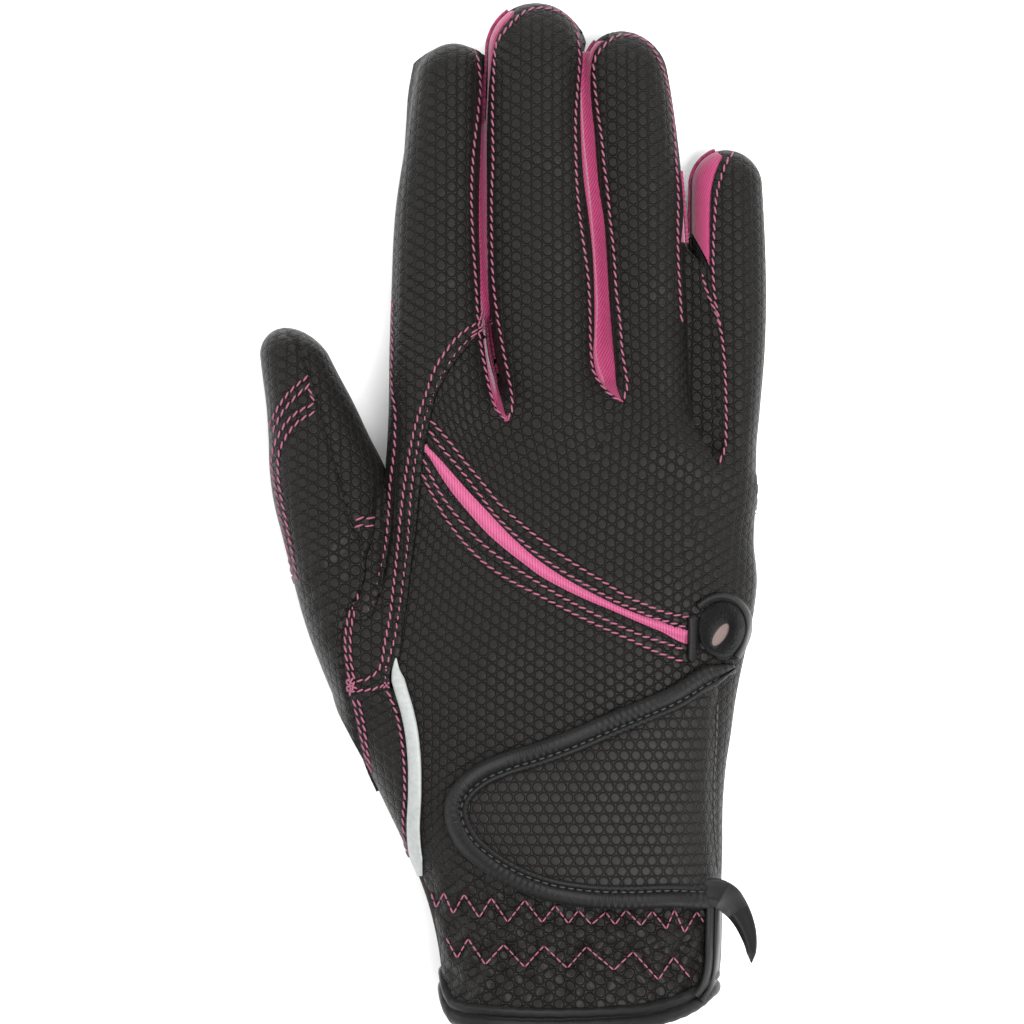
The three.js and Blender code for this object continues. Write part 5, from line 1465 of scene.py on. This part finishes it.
def stitches(starts, ends, height, half=THREAD_HALF, high=THREAD_HIGH, lift=0.0):
    """One capsule for each pair of places: seven stations along it, each a ring of eight round its middle line. The
    middle line arches from hole to hole; half and height shrink to the ends as a fourth power."""
    station = np.linspace(-1, 1, 7)
    turn = np.arange(9) * np.pi / 4
    swell = (1 - station**4 * 0.75)[None, :, None]
    middle_line = (starts[:, None] + ends[:, None]) / 2 + (ends - starts)[:, None] / 2 * station[None, :, None]
    ahead = (ends - starts) / np.maximum(np.linalg.norm(ends - starts, axis=1), 1e-6)[:, None]
    aside = np.stack([-ahead[:, 1], ahead[:, 0]], -1)
    base = height(middle_line[..., 0], middle_line[..., 1]) + lift
    base = base + high * (0.5 - 0.9 * station[None] ** 4)
    xy = middle_line[:, :, None] + aside[:, None, None] * (half * swell * np.cos(turn))[..., None]
    z = base[..., None] + high * 0.8 * swell * np.sin(turn)
    points = np.concatenate([xy, z[..., None]], -1)
    across = np.broadcast_to(np.cos(turn), z.shape)
    along = np.broadcast_to(station[None, :, None] * 2 + np.arange(len(starts))[:, None, None] * 0.37, z.shape)
    return points, np.stack([across, along], -1)


def row_of_stitches(line, pitch=STITCH_PITCH, slant=0.26):
    """Starts and ends of the stitches along a line; each lies a little askew, as a lockstitch does."""
    long = np.linalg.norm(np.diff(line, axis=0), axis=1).sum()
    count = max(2, int(round(long / pitch)))
    flat, _, aside = along_line(line, count * 20 + 1)
    first = np.arange(count) * 20
    share = THREAD_LONG / STITCH_PITCH
    margin = int(round(10 * (1 - share)))
    return flat[first + margin] - aside[first] * slant, flat[first + 20 - margin] + aside[first] * slant


def corner_row(line, pitch):
    """As row_of_stitches, but straight from corner to corner."""
    starts, ends = [], []
    for a, b in zip(line[:-1], line[1:]):
        count = max(1, int(round(np.linalg.norm(b - a) / pitch)))
        step = np.linspace(0, 1, count + 1)[:, None]
        flat = a + (b - a) * step
        starts.append(flat[:-1] + (b - a) / count * 0.06)
        ends.append(flat[1:] - (b - a) / count * 0.06)
    return np.concatenate(starts), np.concatenate(ends)


def capsule_object(name, sets, material):
    """Joins sets of stitches into one mesh; each stitch is a closed tube of 7 by 8 points with its ends capped."""
    grids = []
    for points, pattern in sets:
        first = np.repeat(points[:, :1].mean(2, keepdims=True), points.shape[2], 2)
        last = np.repeat(points[:, -1:].mean(2, keepdims=True), points.shape[2], 2)
        points = np.concatenate([first, points, last], 1)
        pattern = np.concatenate([pattern[:, :1], pattern, pattern[:, -1:]], 1)
        grids.append((points, pattern))
    points = np.concatenate([g[0] for g in grids])
    pattern = np.concatenate([g[1] for g in grids])
    count, stations_, ring_ = points.shape[:3]
    number = np.arange(count * stations_ * ring_).reshape(count, stations_, ring_)
    corners = np.stack(
        [number[:, :-1, :-1], number[:, 1:, :-1], number[:, 1:, 1:], number[:, :-1, 1:]], -1
    ).reshape(-1, 4)
    return mesh_object(name, points.reshape(-1, 3), pattern.reshape(-1, 2), corners, material)


thread = thread_material()
row_sets = [stitches(*row_of_stitches(line), back, lift=0.1) for line in STITCHED]
zigzag_sets = [stitches(*corner_row(line, 1.75), back, lift=0.3, half=0.23) for line in ZIGZAGS]

# Bar tacks: a knot beside the thumb and short thick bars across the first fork's edge
KNOT = seen((351.5, 684))[0]
knot_turn = np.arange(16) * 2.4
knot_out = np.sqrt(np.arange(16) / 16)[:, None] * [1.0, 1.7]
knot_middle = KNOT + knot_out * np.stack([np.cos(knot_turn), np.sin(knot_turn)], -1)
knot_ahead = np.stack([np.cos(knot_turn * 1.7), np.sin(knot_turn * 1.7)], -1)
knot_set = stitches(knot_middle - knot_ahead * 0.7, knot_middle + knot_ahead * 0.7, back, lift=0.3)
TACKS = seen((470, 338), (492, 323), (471, 334), (491, 320), (482, 311), (478, 326), (484, 312), (481, 328),
             (384, 686), (390, 680), (385, 680), (390, 686)).reshape(-1, 2, 2)
tack_starts = np.concatenate([np.linspace(a, b, 4)[:-1] for a, b in TACKS])
tack_ends = np.concatenate([np.linspace(a, b, 4)[1:] for a, b in TACKS])
tack_set = stitches(tack_starts, tack_ends, back, lift=0.45)

pink_stitches = capsule_object("pink_stitches", [*row_sets, knot_set, tack_set], thread)
put_on(pink_stitches, "pink_knit", "knuckle_panel")
zigzag_stitches = capsule_object("zigzag_stitches", zigzag_sets, thread)
put_on(zigzag_stitches, "pink_knit", "wrist_panel")

# Black thread holds the strap's field inside its binding and along its stitched end
black_thread = cloth_material("black_thread", (0.004, 0.004, 0.004), (0.02, 0.02, 0.02), 0.5, 0.3, 0.03, cells=3000)
groove_row = row_of_stitches(strap_inset(BINDING_HALF * 1.4), slant=0.05)
end_row = row_of_stitches(STRAP_END[1:-1] + [0.25, 0], slant=0.05)
black_sets = [stitches(*groove_row, smooth_back, lift=1.35), stitches(*end_row, smooth_back, lift=0.4)]
black_stitches = capsule_object("black_stitches", black_sets, black_thread)
put_on(black_stitches, "satin_binding", "strap_binding")
